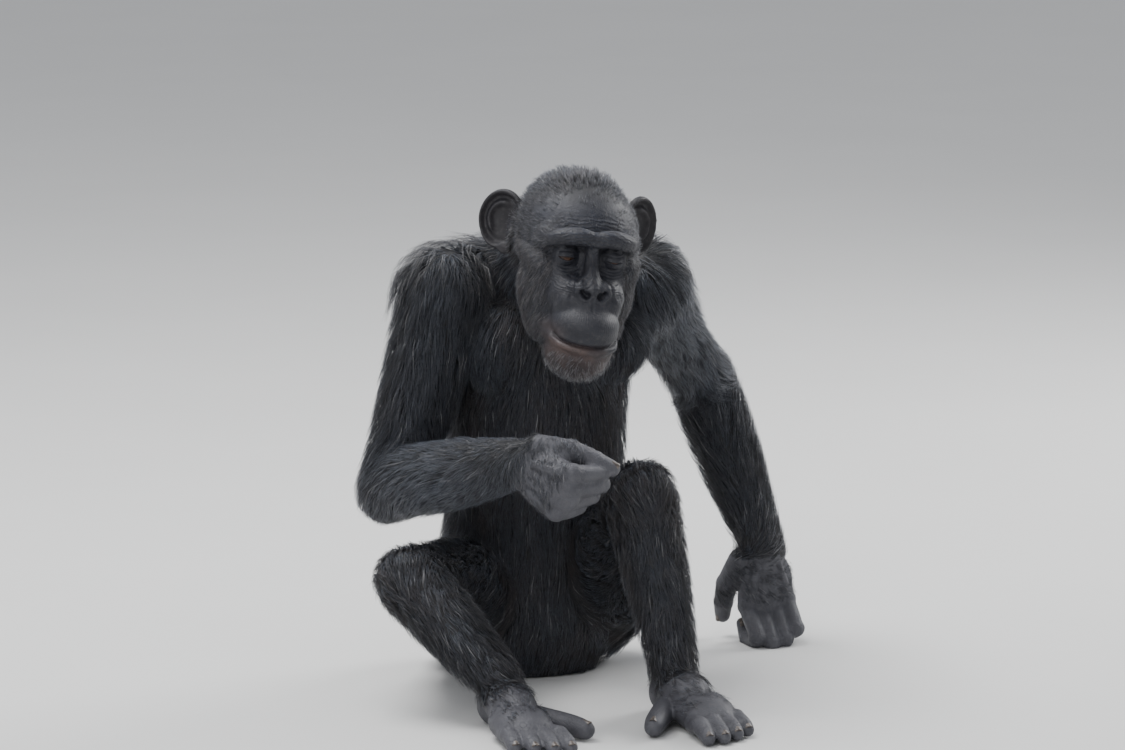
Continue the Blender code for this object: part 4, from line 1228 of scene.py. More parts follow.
    def mark(self, mesh: Mesh) -> None:
        """Keeps on each point what its finish reads.

        Args:
            mesh: The skin's mesh.
        """
        points, normals = coordinates(mesh), coordinates(mesh, "normal")
        x, y, z = HEAD.into(points).T
        bones = Bones.of_animal()
        part = bones.parts(bones.nearest(points))
        on_head = part == Part.HEAD
        front = ramp(0.0, -0.05, y)
        chin = on_head * ramp(-0.074, -0.084, z) * ramp(-0.07, -0.11, y)
        mouth_edge = on_head * bell(z + 0.07, 0.009) * ramp(0.022, 0.036, np.abs(x))
        mouth_edge = mouth_edge * ramp(-0.07, -0.1, y)
        brow = on_head * ramp(0.028, 0.05, z) * ramp(0.05, -0.03, y)
        hands = np.isin(part, (Part.HAND, Part.FOOT)) * 1.0
        ears = near_ears(points)
        bare = np.clip(hands + ears + on_head * front * ramp(0.085, 0.05, z), 0, 1)
        store(mesh, "tones", np.stack([np.clip(chin + 0.35 * mouth_edge, 0, 1), brow, hands], axis=1))
        store(mesh, "bare", bare)
        centres = [eye.centre for eye in EYES.values()]
        eye_away = np.minimum(*(np.hypot((x - c[0]) * 0.85, z - c[2] + 0.002) for c in centres))
        eye_amount = on_head * bell(eye_away - 0.024, 0.011) * ramp(-0.04, -0.075, y)
        lip = np.arctan2(x, np.maximum(0.0, -z) + 0.02)
        lip_amount = on_head * bell(z + 0.052, 0.016) * ramp(-0.105, -0.125, y)
        brow_amount = on_head * bell(z - 0.04, 0.02) * ramp(-0.05, -0.085, y)
        store(mesh, "lines", np.stack([eye_away, lip * 0.1, z + 0.35 * np.abs(x) ** 2 / 0.05], axis=1))
        store(mesh, "line_amounts", np.stack([eye_amount, lip_amount, brow_amount], axis=1))
        knuckle = np.zeros(len(points))
        for side in Side:
            hand, foot = Hand(side), Foot(side)
            joints = np.concatenate([hand.finger(k)[1:4] for k in range(4)] + [hand.thumb()[1:3]]
                                    + [foot.toe(k)[1:3] for k in range(4)] + [foot.big_toe()[1:3]])
            near = np.min([np.linalg.norm(points - joint, axis=1) for joint in joints], axis=0)
            knuckle = np.maximum(knuckle, bell(near, 0.013))
        store(mesh, "knuckle", knuckle * hands)
        store(mesh, "cup", ears * np.clip(0.5 - normals[:, 1] * 0.5, 0, 1))


@dataclass
class Eyeballs:
    """The two eyeballs with a raised cornea, looking down to the hand."""

    gaze: Point = (0.02, -1.0, -0.42)
    around: int = 64
    along: int = 48
    pole_gap: float = 0.012
    cornea: float = 0.055
    cornea_reach: float = 0.42

    def build(self) -> list[Piece]:
        """Makes each eyeball: a ball with a small dome round the gaze.

        Returns:
            The two objects.
        """
        made = []
        for side, eye in EYES.items():
            turn = np.linspace(0, ROUND, self.around, endpoint=False)
            lean = np.linspace(self.pole_gap, math.pi - self.pole_gap, self.along)[:, None]
            axis = unit(np.array(self.gaze))
            across = unit(np.cross(axis, UP))
            frame = np.stack([across, np.cross(across, axis), axis], axis=1)
            dome = 1 + self.cornea * np.exp(-((lean / self.cornea_reach) ** 4))
            ring = np.stack(
                [np.sin(lean) * np.cos(turn), np.sin(lean) * np.sin(turn), np.cos(lean) + 0 * turn], axis=-1
            )
            local = np.array(eye.centre) + (ring * dome[..., None] * eye.radius) @ frame.T
            clay = Clay()
            clay.grid(HEAD.out(local)[:, ::-1])
            mesh = mesh_of("eye", clay.points[0], clay.faces[0])
            obj = linked("eyeball_" + side.word, mesh)
            angle = np.concatenate([np.repeat(lean[:, 0], self.around), [0.0, math.pi]])
            spoke = np.concatenate([np.tile(turn[::-1], self.along), [0.0, 0.0]])
            store(mesh, "gaze", angle)
            store(mesh, "spoke", np.stack([np.cos(spoke), np.sin(spoke), 0 * spoke], axis=1))
            made.append(obj)
        return made


@dataclass
class Nails:
    """A nail on the last bone of each finger and toe."""

    length: float = 0.0105
    half_width: float = 0.0052
    thickness: float = 0.0011
    arch: float = 0.95
    count: int = 9
    finger_radius: float = 0.0072
    thumb_radius: float = 0.0094
    toe_radius: float = 0.008
    big_toe_radius: float = 0.011

    def plate(self, joint: Array, tip: Array, back: Array, radius: float) -> tuple[Array, Array]:
        """One nail: a strip of a tube's wall, rounded at its free end.

        Args:
            joint: The last joint.
            tip: The end of the bone.
            back: The direction out of the finger's back.
            radius: The finger's radius there.
        Returns:
            Points and faces.
        """
        along = unit(tip - joint)
        up = unit(back - along * (back @ along))
        across = np.cross(along, up)
        n = self.count
        u, v = np.meshgrid(np.linspace(0, 1, n), np.linspace(-1, 1, n), indexing="ij")
        lean = v * self.arch
        place = (u - 1) * self.length + radius * 0.55 - 0.0016 * u * v**2
        height = radius * 1.02 * np.cos(lean) * (1 - 0.03 * u) + 0.0004
        side = self.half_width * np.sin(lean) / math.sin(self.arch)
        top = tip + along * place[..., None] + up * height[..., None] + across * side[..., None]
        points = np.concatenate([top.reshape(-1, 3), (top - up * self.thickness).reshape(-1, 3)])
        number = np.arange(n * n).reshape(n, n)
        a, b, c, d = number[:-1, :-1], number[1:, :-1], number[1:, 1:], number[:-1, 1:]
        upper = np.stack([a, b, c, d], -1).reshape(-1, 4)
        rim = np.concatenate([number[0], number[1:, -1], number[-1, -2::-1], number[-2:0:-1, 0]])
        after = np.roll(rim, -1)
        walls = np.stack([rim, after, after + n * n, rim + n * n], axis=1)
        return points, np.concatenate([upper, upper[:, ::-1] + n * n, walls])

    def build(self) -> Piece:
        """Makes all the nails as one piece.

        Returns:
            The piece.
        """
        points, faces, used = [], [], 0
        for side in Side:
            hand, foot = Hand(side), Foot(side)
            ends = []
            for k in range(4):
                joints = hand.finger(k)
                before, last = joints[3] - joints[2], joints[4] - joints[3]
                bend = unit(np.cross(np.cross(before, last), last))
                ends.append((*joints[3:5], bend, self.finger_radius))
            back = hand.frame[:, 2] * 0.4 + hand.frame[:, 1]
            ends.append((*hand.thumb()[2:4], back, self.thumb_radius))
            ends += [(*foot.toe(k)[2:4], np.array(UP), self.toe_radius) for k in range(4)]
            ends.append((*foot.big_toe()[2:4], np.array(UP), self.big_toe_radius))
            for joint, tip, out, radius in ends:
                p, f = self.plate(joint, tip, out, radius)
                points.append(p)
                faces.append(f + used)
                used += len(p)
        mesh = mesh_of("nails", np.concatenate(points), np.concatenate(faces))
        work = bmesh.new()
        work.from_mesh(mesh)
        bmesh.ops.recalc_face_normals(work, faces=work.faces)
        work.to_mesh(mesh)
        work.free()
        return linked("nails", mesh)


@dataclass(frozen=True)
class Hair:
    """How the coat grows on one part: metres, and shares between 0 and 1."""

    length: float
    lift: float
    width: float = 0.0004
    density: float = 1.0
    grey: float = 0.02
    brown: float = 0.1


class Growth(Enum):
    """The coat of each part of the body."""

    HEAD = Hair(0.027, 0.011, 0.0002, 1.00, 0.08, 0.6)
    NECK = Hair(0.047, 0.0115, 0.00038, 1.15, 0.05, 0.2)
    TRUNK = Hair(0.054, 0.011, 0.00039, 1.1, 0.03, 0.2)
    UPPER_ARM = Hair(0.05, 0.0105, 0.00037, 1.12, 0.02, 0.12)
    FOREARM = Hair(0.044, 0.0082, 0.00035, 1.14, 0.021, 0.16)
    HAND = Hair(0.016, 0.0022, 0.00026, 1.2, 0.08, 0.24)
    THIGH = Hair(0.047, 0.01, 0.0004, 1.05, 0.022, 0.18)
    SHIN = Hair(0.038, 0.008, 0.00036, 1.08, 0.03, 0.28)
    FOOT = Hair(0.012, 0.0016, 0.00024, 0.9, 0.05, 0.26)


CELL_PRIMES = (73856093, 19349663, 83492791)
# A strand's points are three at its root, three at its bend and its tip.
STRAND_POINTS = 7
STRAND_FACES = (
    (0, 2, 1), (3, 6, 5), (5, 6, 4), (4, 6, 3),
    (0, 3, 5), (0, 5, 2), (2, 5, 4), (2, 4, 1), (1, 4, 3), (1, 3, 0),
)


@dataclass
class Coat:
    """The hair of the body: solid, tapering strands in locks that follow the lie of the coat."""

    skin: Piece
    cell: float = 0.0098
    strands: int = 10
    seed: int = 5
    clump: float = 0.32
    stray: float = 0.0018
    trials: int = 160000
    bones: Bones = field(default_factory=Bones.of_animal)
    stations: Point = (0.0, 0.45, 1.0)
    heights: Point = (-0.1, 0.75, 1.0)
    blend: float = 0.018
    spread: float = 0.8
    patch: float = 0.003
    behind: float = 0.03
    waist: float = 0.22
    floor_gap: float = 0.0012

    def roots(self, random: Chance) -> tuple[Array, Array]:
        """Scattered roots, one for each filled cell of a fine grid of space.

        Args:
            random: Chance.
        Returns:
            The roots and the skin's normals there.
        """
        mesh = self.skin.data
        corners = triangles(mesh)
        points, normals = coordinates(mesh), coordinates(mesh, "normal")
        a, b, c = (points[corners[:, k]] for k in range(3))
        area = np.linalg.norm(np.cross(b - a, c - a), axis=1)
        area *= self.wanted((a + b + c) / 3)
        chosen = random.choice(len(area), self.trials, p=area / area.sum())
        u, v = np.sqrt(random.random(self.trials)), random.random(self.trials)
        share = np.stack([1 - u, u * (1 - v), u * v], axis=1)
        roots = np.einsum("nk,nkd->nd", share, points[corners[chosen]])
        out = unit(np.einsum("nk,nkd->nd", share, normals[corners[chosen]]))
        number = self.bones.nearest(roots)
        cell = self.cell / np.sqrt(self.hair("density", number))
        key = np.floor(roots / cell[:, None]).astype(np.int64) * CELL_PRIMES
        code = key[:, 0] ^ key[:, 1] ^ key[:, 2]
        _, first = np.unique(code, return_index=True)
        first = first[self.grows(roots[first], out[first], number[first])]
        return roots[first], out[first]

    def hair(self, key: str, number: Array) -> Array:
        """One of the coat's numbers, by name, for each piece number."""
        return np.array([getattr(Growth[bone.part.name].value, key) for bone in self.bones.rows])[number]

    def wanted(self, points: Array) -> Array:
        """The share of the trials for each place."""
        return np.ones(len(points))

    def grows(self, roots: Array, normals: Array, number: Array) -> Array:
        """Whether long hair grows: not on the head, digits, palms, soles or seat.

        Args:
            roots: Places on the skin.
            normals: The skin's, there.
            number: Their bone pieces.
        Returns:
            True or false for each root.
        """
        part = self.bones.parts(number)
        hands, feet = np.zeros((2, len(roots)), bool)
        for side in Side:
            hand, foot = Hand(side), Foot(side)
            from_wrist = (roots - np.array(ARMS[side].end)) @ hand.frame
            back = (normals @ hand.frame[:, 2] > 0.1) & (from_wrist[:, 0] < 0.06)
            hands |= (part == Part.HAND) & back & (np.linalg.norm(from_wrist, axis=1) < 0.09)
            from_ankle = (roots - foot.spot((0, 0, 0))) @ foot.frame
            top = (normals[:, 2] > 0.35) & (from_ankle[:, 0] < 0.095) & (np.abs(from_ankle[:, 1]) < 0.03)
            feet |= (part == Part.FOOT) & top & (np.linalg.norm(from_ankle, axis=1) < 0.13)
        body = ~np.isin(part, (Part.HEAD, Part.HAND, Part.FOOT))
        seat = (normals[:, 2] < -0.72) & (roots[:, 2] < 0.05)
        return (hands | feet | (body & ~seat & ~near_ears(roots))) & (roots[:, 2] > 0.004)

    def lie(self, points: Array, normals: Array) -> Array:
        """The direction in which the hair lies on the skin.

        The bone pieces' directions are mixed by e^(-gap / blend), where gap is how much farther off a piece
        is than the nearest one, turned by a slow wave, and laid in the skin's plane.

        Args:
            points: Places on the skin.
            normals: The skin's, there.
        Returns:
            Unit vectors in the skin's plane.
        """
        gaps = self.bones.gaps(points)
        weights = np.exp(-(gaps - gaps.min(axis=0)) / self.blend)
        way = np.zeros_like(points)
        for weight, bone in zip(weights, self.bones.rows):
            way += weight[:, None] * self.direction(bone.part, bone.side, points, normals)
        x, y, z = points.T
        wave = np.sin(31 * x + 3) * np.sin(27 * y + 1) + 0.6 * np.sin(67 * z + 2 + 20 * x)
        way = way + np.cross(normals, way) * (0.16 * wave)[:, None]
        return unit(way - normals * np.einsum("nd,nd->n", way, normals)[:, None])

    def direction(self, part: Part, side: Side | None, points: Array, normals: Array) -> Array:
        """How the hair of one part points: down, back over the head, to the elbow and foot.

        Args:
            part: The part of the body.
            side: Its side, if it has one.
            points: Places on the skin.
            normals: The skin's, there.
        Returns:
            Unit vectors, one for each point or one for all.
        """
        x, y, _ = points.T
        one, none = np.ones(len(x)), np.zeros(len(x))
        if part is Part.HEAD:
            u, v, w = HEAD.into(points).T
            crown = unit(np.stack([u * 6, one, 0.25 - 6 * np.maximum(0, v)], axis=1))
            cheek = unit(np.stack([np.sign(u) * 0.2, 0.55 * one, -one], axis=1))
            low = ramp(0.035, 0.0, w)[:, None]
            return unit(cheek * low + crown * (1 - low)) @ HEAD.axes.T
        if part is Part.NECK:
            nape = unit(np.stack([x * 9, one, -0.35 * one], axis=1))
            throat = unit(np.stack([x * 3, 0.15 * one, -one], axis=1))
            upper = ramp(-0.35, 0.25, normals[:, 2])[:, None]
            return unit(nape * upper + throat * (1 - upper))
        if part is Part.TRUNK:
            back = unit(np.stack([x * 4, 0.25 * one, -one], axis=1))
            front = unit(np.stack([-x * 1.5, none, -one], axis=1))
            behind = ramp(-0.03, 0.03, y)[:, None]
            return back * behind + front * (1 - behind)
        arm, leg = ARMS[side], LEGS[side]
        droop = -0.45 if side is Side.RIGHT else 0.0
        ways = {
            Part.UPPER_ARM: unit(np.subtract(arm.hinge, arm.root)) + (0, 0, -0.2),
            Part.FOREARM: unit(np.subtract(arm.hinge, arm.end)) + (0, 0.1, droop),
            Part.HAND: Hand(side).frame @ np.array([0.55, -0.8, 0]),
            Part.THIGH: unit(np.subtract(leg.hinge, leg.root)) + (0, 0.1, -0.35),
            Part.SHIN: unit(np.subtract(leg.end, leg.hinge)) + (0, 0.12, 0),
            Part.FOOT: Foot(side).frame @ np.array([1.0, -0.2, 0]),
        }
        return unit(ways[part])

    def growth(self, roots: Array, number: Array) -> Named:
        """The hair at each root, with the local changes.

        Args:
            roots: Places on the skin.
            number: Their bone pieces.
        Returns:
            Lengths, lifts, widths, greyness and brownness by name.
        """
        named = {key: self.hair(key, number) for key in ("length", "lift", "width", "grey", "brown")}
        self.vary(named, roots, self.bones.parts(number))
        return named

    def vary(self, named: Named, roots: Array, part: Array) -> None:
        """Whitish and longer on the shoulders, longer at the elbows, short at the other joints.

        Args:
            named: The coat's numbers, changed in place.
            roots: Places on the skin.
            part: The value of each root's part.
        """
        _, y, z = roots.T
        length, lift, _, grey, brown = named.values()
        top = ramp(0.42, 0.5, z) * ramp(-0.09, -0.02, y)
        grey += 0.5 * top
        length *= 1 + 0.4 * top
        lift *= 1 + 0.9 * top
        belly = (part == Part.TRUNK) & (y < -0.04)
        length[belly] *= 0.85
        lift[belly] *= 0.6
        brown[belly] += 0.35
        for side in Side:
            changes = (
                (ARMS[side].hinge, 0.05, 0.45, 0.4, 0.06, 0.1),
                (ARMS[side].end, 0.045, -0.55, -0.7, 0.04, 0.15),
                (LEGS[side].hinge, 0.055, -0.45, -0.5, 0.03, 0.4),
                (LEGS[side].end, 0.05, -0.45, -0.55, 0.03, 0.15),
            )
            for spot, reach, longer, higher, greyer, browner in changes:
                near = bell(np.linalg.norm(roots - np.array(spot), axis=1), reach)
                length *= 1 + longer * near
                lift *= 1 + higher * near
                grey += greyer * near
                brown += browner * near

    def guides(self, roots: Array, normals: Array, grown: Named,
               random: Chance) -> tuple[Array, Array, Array]:
        """The middle line of each lock: steps along the lie of the coat, lifted off the skin.

        Args:
            roots: Where the locks start.
            normals: The skin's, there.
            grown: What growth() gives.
            random: Chance.
        Returns:
            Points, sideways directions and normals, each locks x stations x 3.
        """
        mesh = self.skin.data
        tree = BVHTree.FromPolygons(coordinates(mesh).tolist(), triangles(mesh).tolist(), epsilon=0)
        count = len(roots)
        spot, out = roots.copy(), normals.copy()
        length = grown["length"] * random.uniform(0.78, 1.12, count)
        lift = grown["lift"] * random.uniform(0.65, 1.12, count)
        turn = random.normal(0, 0.12, count)
        lines, sides, outs = [], [], []
        way = None
        for k, station in enumerate(self.stations):
            fresh = self.lie(spot, out)
            fresh = unit(fresh + np.cross(out, fresh) * turn[:, None])
            way = fresh if way is None else unit(fresh + way)
            way = unit(way - out * np.einsum("nd,nd->n", way, out)[:, None])
            lines.append(spot + out * (lift * self.heights[k])[:, None])
            sides.append(unit(np.cross(out, way)))
            outs.append(out)
            if k + 1 < len(self.stations):
                step = (self.stations[k + 1] - station) * length
                ahead = spot + way * step[:, None]
                found = [tree.find_nearest(Vector(p))[:2] for p in ahead]
                spot = np.array([f[0][:] for f in found])
                out = unit(out * 0.6 + np.array([f[1][:] for f in found]))
        return np.stack(lines, 1), np.stack(sides, 1), np.stack(outs, 1)

    def strand_mesh(self, lines: Array, sides: Array, outs: Array, grown: Named, uv: Array,
                    random: Chance, name: str) -> Piece:
        """Grows the strands of some locks, each a three-sided tapering blade.

        A strand follows its lock's line, offset sideways by less and less towards the tip. Two rings of
        three points and a tip make it a closed body.

        Args:
            lines: The locks' middle lines.
            sides: Sideways directions along them.
            outs: The skin's normals along them.
            grown: What growth() gives for these locks.
            uv: Each lock's place on the unwrap.
            random: Chance.
            name: The new piece's name.
        Returns:
            The coat piece.
        """
        locks, n = len(lines), self.strands
        shape = (locks, n)
        angle = random.uniform(0, ROUND, shape)
        reach = np.sqrt(random.random(shape)) * self.cell * self.spread
        t = np.array(self.stations)
        place = random.uniform(0.72, 1.0, shape)[..., None] * t
        low = (place > t[1]).astype(int)
        share = ((place - t[low]) / (t[low + 1] - t[low]))[..., None]
        index = np.arange(locks)[:, None, None]

        def along(values: Array) -> Array:
            """The lock's values at each strand's own stations."""
            return values[index, low] * (1 - share) + values[index, low + 1] * share

        side, out = along(sides), along(outs)
        ahead = along(unit(np.gradient(lines, axis=1)))
        offset = (np.cos(angle) * reach)[..., None] * (1 - self.clump * t**1.4)
        bend = random.normal(0, self.stray, shape)[..., None] * t**2
        rise = random.normal(0, self.stray * 0.8, shape)[..., None] * t
        middle = along(lines) + side * (offset + bend)[..., None]
        middle = middle + ahead * (np.sin(angle) * reach)[..., None, None]
        middle = middle + out * (rise - 9.0 * offset**2)[..., None]
        middle[..., 2] = np.maximum(middle[..., 2], self.floor_gap)
        half = (grown["width"][:, None] * random.uniform(0.75, 1.25, shape))[..., None, None]
        half = half * np.array([1.0, 0.8])[:, None]
        base, side, out = middle[:, :, :2], side[:, :, :2], out[:, :, :2]
        rings = np.stack([base + side * half, base - side * half, base + out * half * 0.75], axis=3)
        points = np.concatenate([rings.reshape(locks, n, 6, 3), middle[:, :, 2:]], axis=2)
        points[..., 2] = np.maximum(points[..., 2], self.floor_gap / 2)
        total = locks * n
        flat = points.reshape(-1, 3)
        pattern = np.array(STRAND_FACES)[None] + (np.arange(total) * STRAND_POINTS)[:, None, None]
        if np.cross(flat[2] - flat[0], flat[1] - flat[0]) @ (flat[6] - flat[0]) > 0:
            pattern = pattern[..., ::-1]
        mesh = mesh_of(name, flat, pattern.reshape(-1, 3))
        down = np.tile(np.repeat(t, (3, 3, 1)), total)
        is_grey = random.random(shape) < grown["grey"][:, None]
        grey = np.repeat((is_grey * random.uniform(0.25, 1.0, shape)).ravel(), STRAND_POINTS)
        brown = np.clip(grown["brown"][:, None] * random.uniform(0.3, 1.7, shape), 0, 1)
        store(mesh, "strand", np.stack([down, np.repeat(random.random(total), STRAND_POINTS), grey], axis=1))
        store(mesh, "brown", np.repeat(brown.ravel(), STRAND_POINTS))
        self.lay_out(mesh, uv, down)
        return linked(name, mesh)

    def lay_out(self, mesh: Mesh, uv: Array, down: Array) -> None:
        """Gives each lock a small patch of the sheet.

        Args:
            mesh: The coat piece.
            uv: Each lock's place on the unwrap.
            down: How far along its strand each point is.
        """
        n = self.strands
        column = np.tile(np.repeat(np.arange(n), STRAND_POINTS), len(uv))
        across = np.tile([-0.2, 0.2, 0.0, -0.2, 0.2, 0.0, 0.0], len(uv) * n)
        u = np.repeat(uv[:, 0], n * STRAND_POINTS) + self.patch * ((column + 0.5 + across) / n - 0.5)
        v = np.repeat(uv[:, 1], n * STRAND_POINTS) + self.patch * (down * 0.9 - 0.45)
        corners = np.empty(len(mesh.loops), np.int32)
        mesh.loops.foreach_get("vertex_index", corners)
        layer = mesh.uv_layers.new(name="OFBake")
        layer.data.foreach_set("uv", packed(np.stack([u, v], axis=1)[corners]))

    def unwrap(self, roots: Array, number: Array) -> Array:
        """Where each root lies on an unwrap: every bone piece is rolled out as a tube.

        The angle and the place along the bone fill one cell of a square sheet.

        Args:
            roots: Places on the skin.
            number: Their bone pieces.
        Returns:
            Rows of u and v between 0 and 1.
        """
        sheet = math.ceil(math.sqrt(len(self.bones.rows)))
        uv = np.zeros((len(roots), 2))
        for k, bone in enumerate(self.bones.rows):
            mine = number == k
            axis = unit(bone.end - bone.start)
            across = unit(np.cross(axis, (0.3, 0.1, 1.0)))
            rel = roots[mine] - bone.start
            angle = np.arctan2(rel @ np.cross(axis, across), rel @ across) / ROUND + 0.5
            reach = np.linalg.norm(bone.end - bone.start) + bone.first + bone.last
            along = np.clip((rel @ axis + bone.first) / reach, 0, 1)
            cell = np.stack([angle, along], axis=1) * 0.94 + 0.03
            uv[mine] = (cell + (k % sheet, k // sheet)) / sheet
        return uv

    def regions(self, roots: Array, number: Array) -> Named:
        """The pieces that the coat is divided into.

        Args:
            roots: Places on the skin.
            number: Their bone pieces.
        Returns:
            Which locks each piece has, by its name.
        """
        part, side = self.bones.parts(number), self.bones.sides(number)
        arms = np.isin(part, (Part.UPPER_ARM, Part.FOREARM, Part.HAND))
        legs = np.isin(part, (Part.THIGH, Part.SHIN, Part.FOOT))
        trunk = part == Part.TRUNK
        behind, high = roots[:, 1] >= self.behind, roots[:, 2] >= self.waist
        return {
            "coat_neck": part == Part.NECK,
            "coat_back": trunk & behind & high,
            "coat_rump": trunk & behind & ~high,
            "coat_chest": trunk & ~behind & high,
            "coat_belly": trunk & ~behind & ~high,
            "coat_arm_right": arms & (side < 0),
            "coat_arm_left": arms & (side > 0),
            "coat_leg_right": legs & (side < 0),
            "coat_leg_left": legs & (side > 0),
        }

    def build(self) -> list[Piece]:
        """Grows the coat in pieces by region, each under the limit on faces.

        Returns:
            The coat pieces.
        """
        random = np.random.default_rng(self.seed)
        roots, normals = self.roots(random)
        number = self.bones.nearest(roots)
        grown = self.growth(roots, number)
        lines, sides, outs = self.guides(roots, normals, grown, random)
        uv = self.unwrap(roots, number)
        made = []
        for name, mine in self.regions(roots, number).items():
            chosen = np.flatnonzero(mine)
            most = MOST_TRIANGLES // len(STRAND_FACES) // self.strands
            if len(chosen) > most:
                log.warning("%s keeps %d of its %d locks", name, most, len(chosen))
                chosen = np.sort(random.permutation(chosen)[:most])
            part_of = {key: value[chosen] for key, value in grown.items()}
            piece = self.strand_mesh(
                lines[chosen], sides[chosen], outs[chosen], part_of, uv[chosen], random, name
            )
            log.info("%s: %d locks, %d triangles", name, len(chosen), len(piece.data.polygons))
            made.append(piece)
        return made


@dataclass
class HeadHair(Coat):
    """The finer hair of the head: swept back on the crown, short on the cheeks, sparse on brow and chin."""

    cell: float = 0.005
    strands: int = 7
    seed: int = 11
    clump: float = 0.25
    stray: float = 0.0012
    trials: int = 120000

    def wanted(self, points: Array) -> Array:
        """All the trials go to the head."""
        return (self.bones.nearest(points) == 0) * 1.0

    def grows(self, roots: Array, normals: Array, number: Array) -> Array:
        """Hair over the crown, nape, cheeks and throat.

        Args:
            roots: Places on the skin.
            normals: Not used here.
            number: Not used here.
        Returns:
            True or false for each root.
        """
        x, y, z = HEAD.into(roots).T
        chance = np.random.default_rng(self.seed + 1).random(len(roots))
        full = 0.12 + ramp(0.052, 0.078, z + 0.35 * y + 0.4 * np.abs(x))
        scalp = (z > 0.04) & (y > -0.085) & (chance < full)
        nape = (y > 0.012) & (z < 0.055)
        cheek = (np.abs(x) > 0.0385) & (y > -0.09) & (z < 0.045)
        full = 0.35 + ramp(-0.1, -0.12, z) + ramp(-0.08, -0.05, y)
        jaw = (z < -0.087) & (y > -0.15) & (chance < full)
        return (scalp | nape | cheek | jaw) & ~near_ears(roots)

    def vary(self, named: Named, roots: Array, part: Array) -> None:
        """Longest on the crown, fading to fine hair on the face.

        Args:
            named: The coat's numbers, changed in place.
            roots: Places on the skin.
            part: Not used here.
        """
        _, y, z = HEAD.into(roots).T
        length, lift, width, grey, brown = named.values()
        crown = ramp(0.052, 0.08, z + 0.35 * y)
        nape = ramp(0.0, 0.03, y)
        long = np.clip(np.maximum(crown, nape), 0, 1)
        face = 1 - long
        length *= (1 - 0.62 * face) * (1 + 0.35 * crown)
        lift *= (1 - 0.72 * face) * (1 + 0.35 * crown)
        width *= 1 - 0.35 * face
        chin = ramp(-0.08, -0.095, z) * ramp(-0.05, -0.09, y)
        grey += 0.4 * chin
        length *= 1 - 0.3 * chin
        lift *= 1 + 0.5 * chin
        cheek = ramp(0.03, -0.01, z) * ramp(0.03, -0.02, y)
        grey += 0.1 * cheek
        brown += 0.35 * cheek
        length *= 1 + 0.5 * cheek * (1 - chin)

    def regions(self, roots: Array, number: Array) -> Named:
        """One piece behind and one in front.

        Args:
            roots: Places on the skin.
            number: Not used here.
        Returns:
            Which locks each piece has, by its name.
        """
        _, y, z = HEAD.into(roots).T
        back = (y > 0.0) | (z > 0.066)
        return {"coat_crown": back, "coat_face": ~back}


class Value:
    """A number from a shader node; sums and products of it add Math nodes."""

    def __init__(self, sheet: NodeSheet, socket: Any) -> None:
        """Keeps the sheet of nodes and the socket that gives the number."""
        self.sheet = sheet
        self.socket = socket

    def math(self, operation: str, *others: Any, first: bool = True) -> Value:
        """Adds a Math node.

        Args:
            operation: What it does.
            others: The numbers or values beside this one.
            first: Whether this one comes before them.
        Returns:
            What it gives.
        """
        values = [self, *others] if first else [*others, self]
        node = self.sheet.add("ShaderNodeMath", {"operation": operation}, dict(enumerate(values)))
        return Value(self.sheet, node.outputs[0])

    def __add__(self, other: Any) -> Value:
        """This plus other."""
        return self.math("ADD", other)

    __radd__ = __add__

    def __sub__(self, other: Any) -> Value:
        """This less other."""
        return self.math("SUBTRACT", other)

    def __rsub__(self, other: Any) -> Value:
        """Other less this."""
        return self.math("SUBTRACT", other, first=False)

    def __mul__(self, other: Any) -> Value:
        """This times other."""
        return self.math("MULTIPLY", other)

    __rmul__ = __mul__

    def sine(self) -> Value:
        """The sine of this, in radians."""
        return self.math("SINE")

    def between(self, low: float, high: float) -> Value:
        """0 up to low and 1 from high, smooth between them."""
        node = self.sheet.add(
            "ShaderNodeMapRange", {"interpolation_type": "SMOOTHSTEP", "clamp": True},
            {"Value": self, "From Min": low, "From Max": high},
        )
        return Value(self.sheet, node.outputs[0])


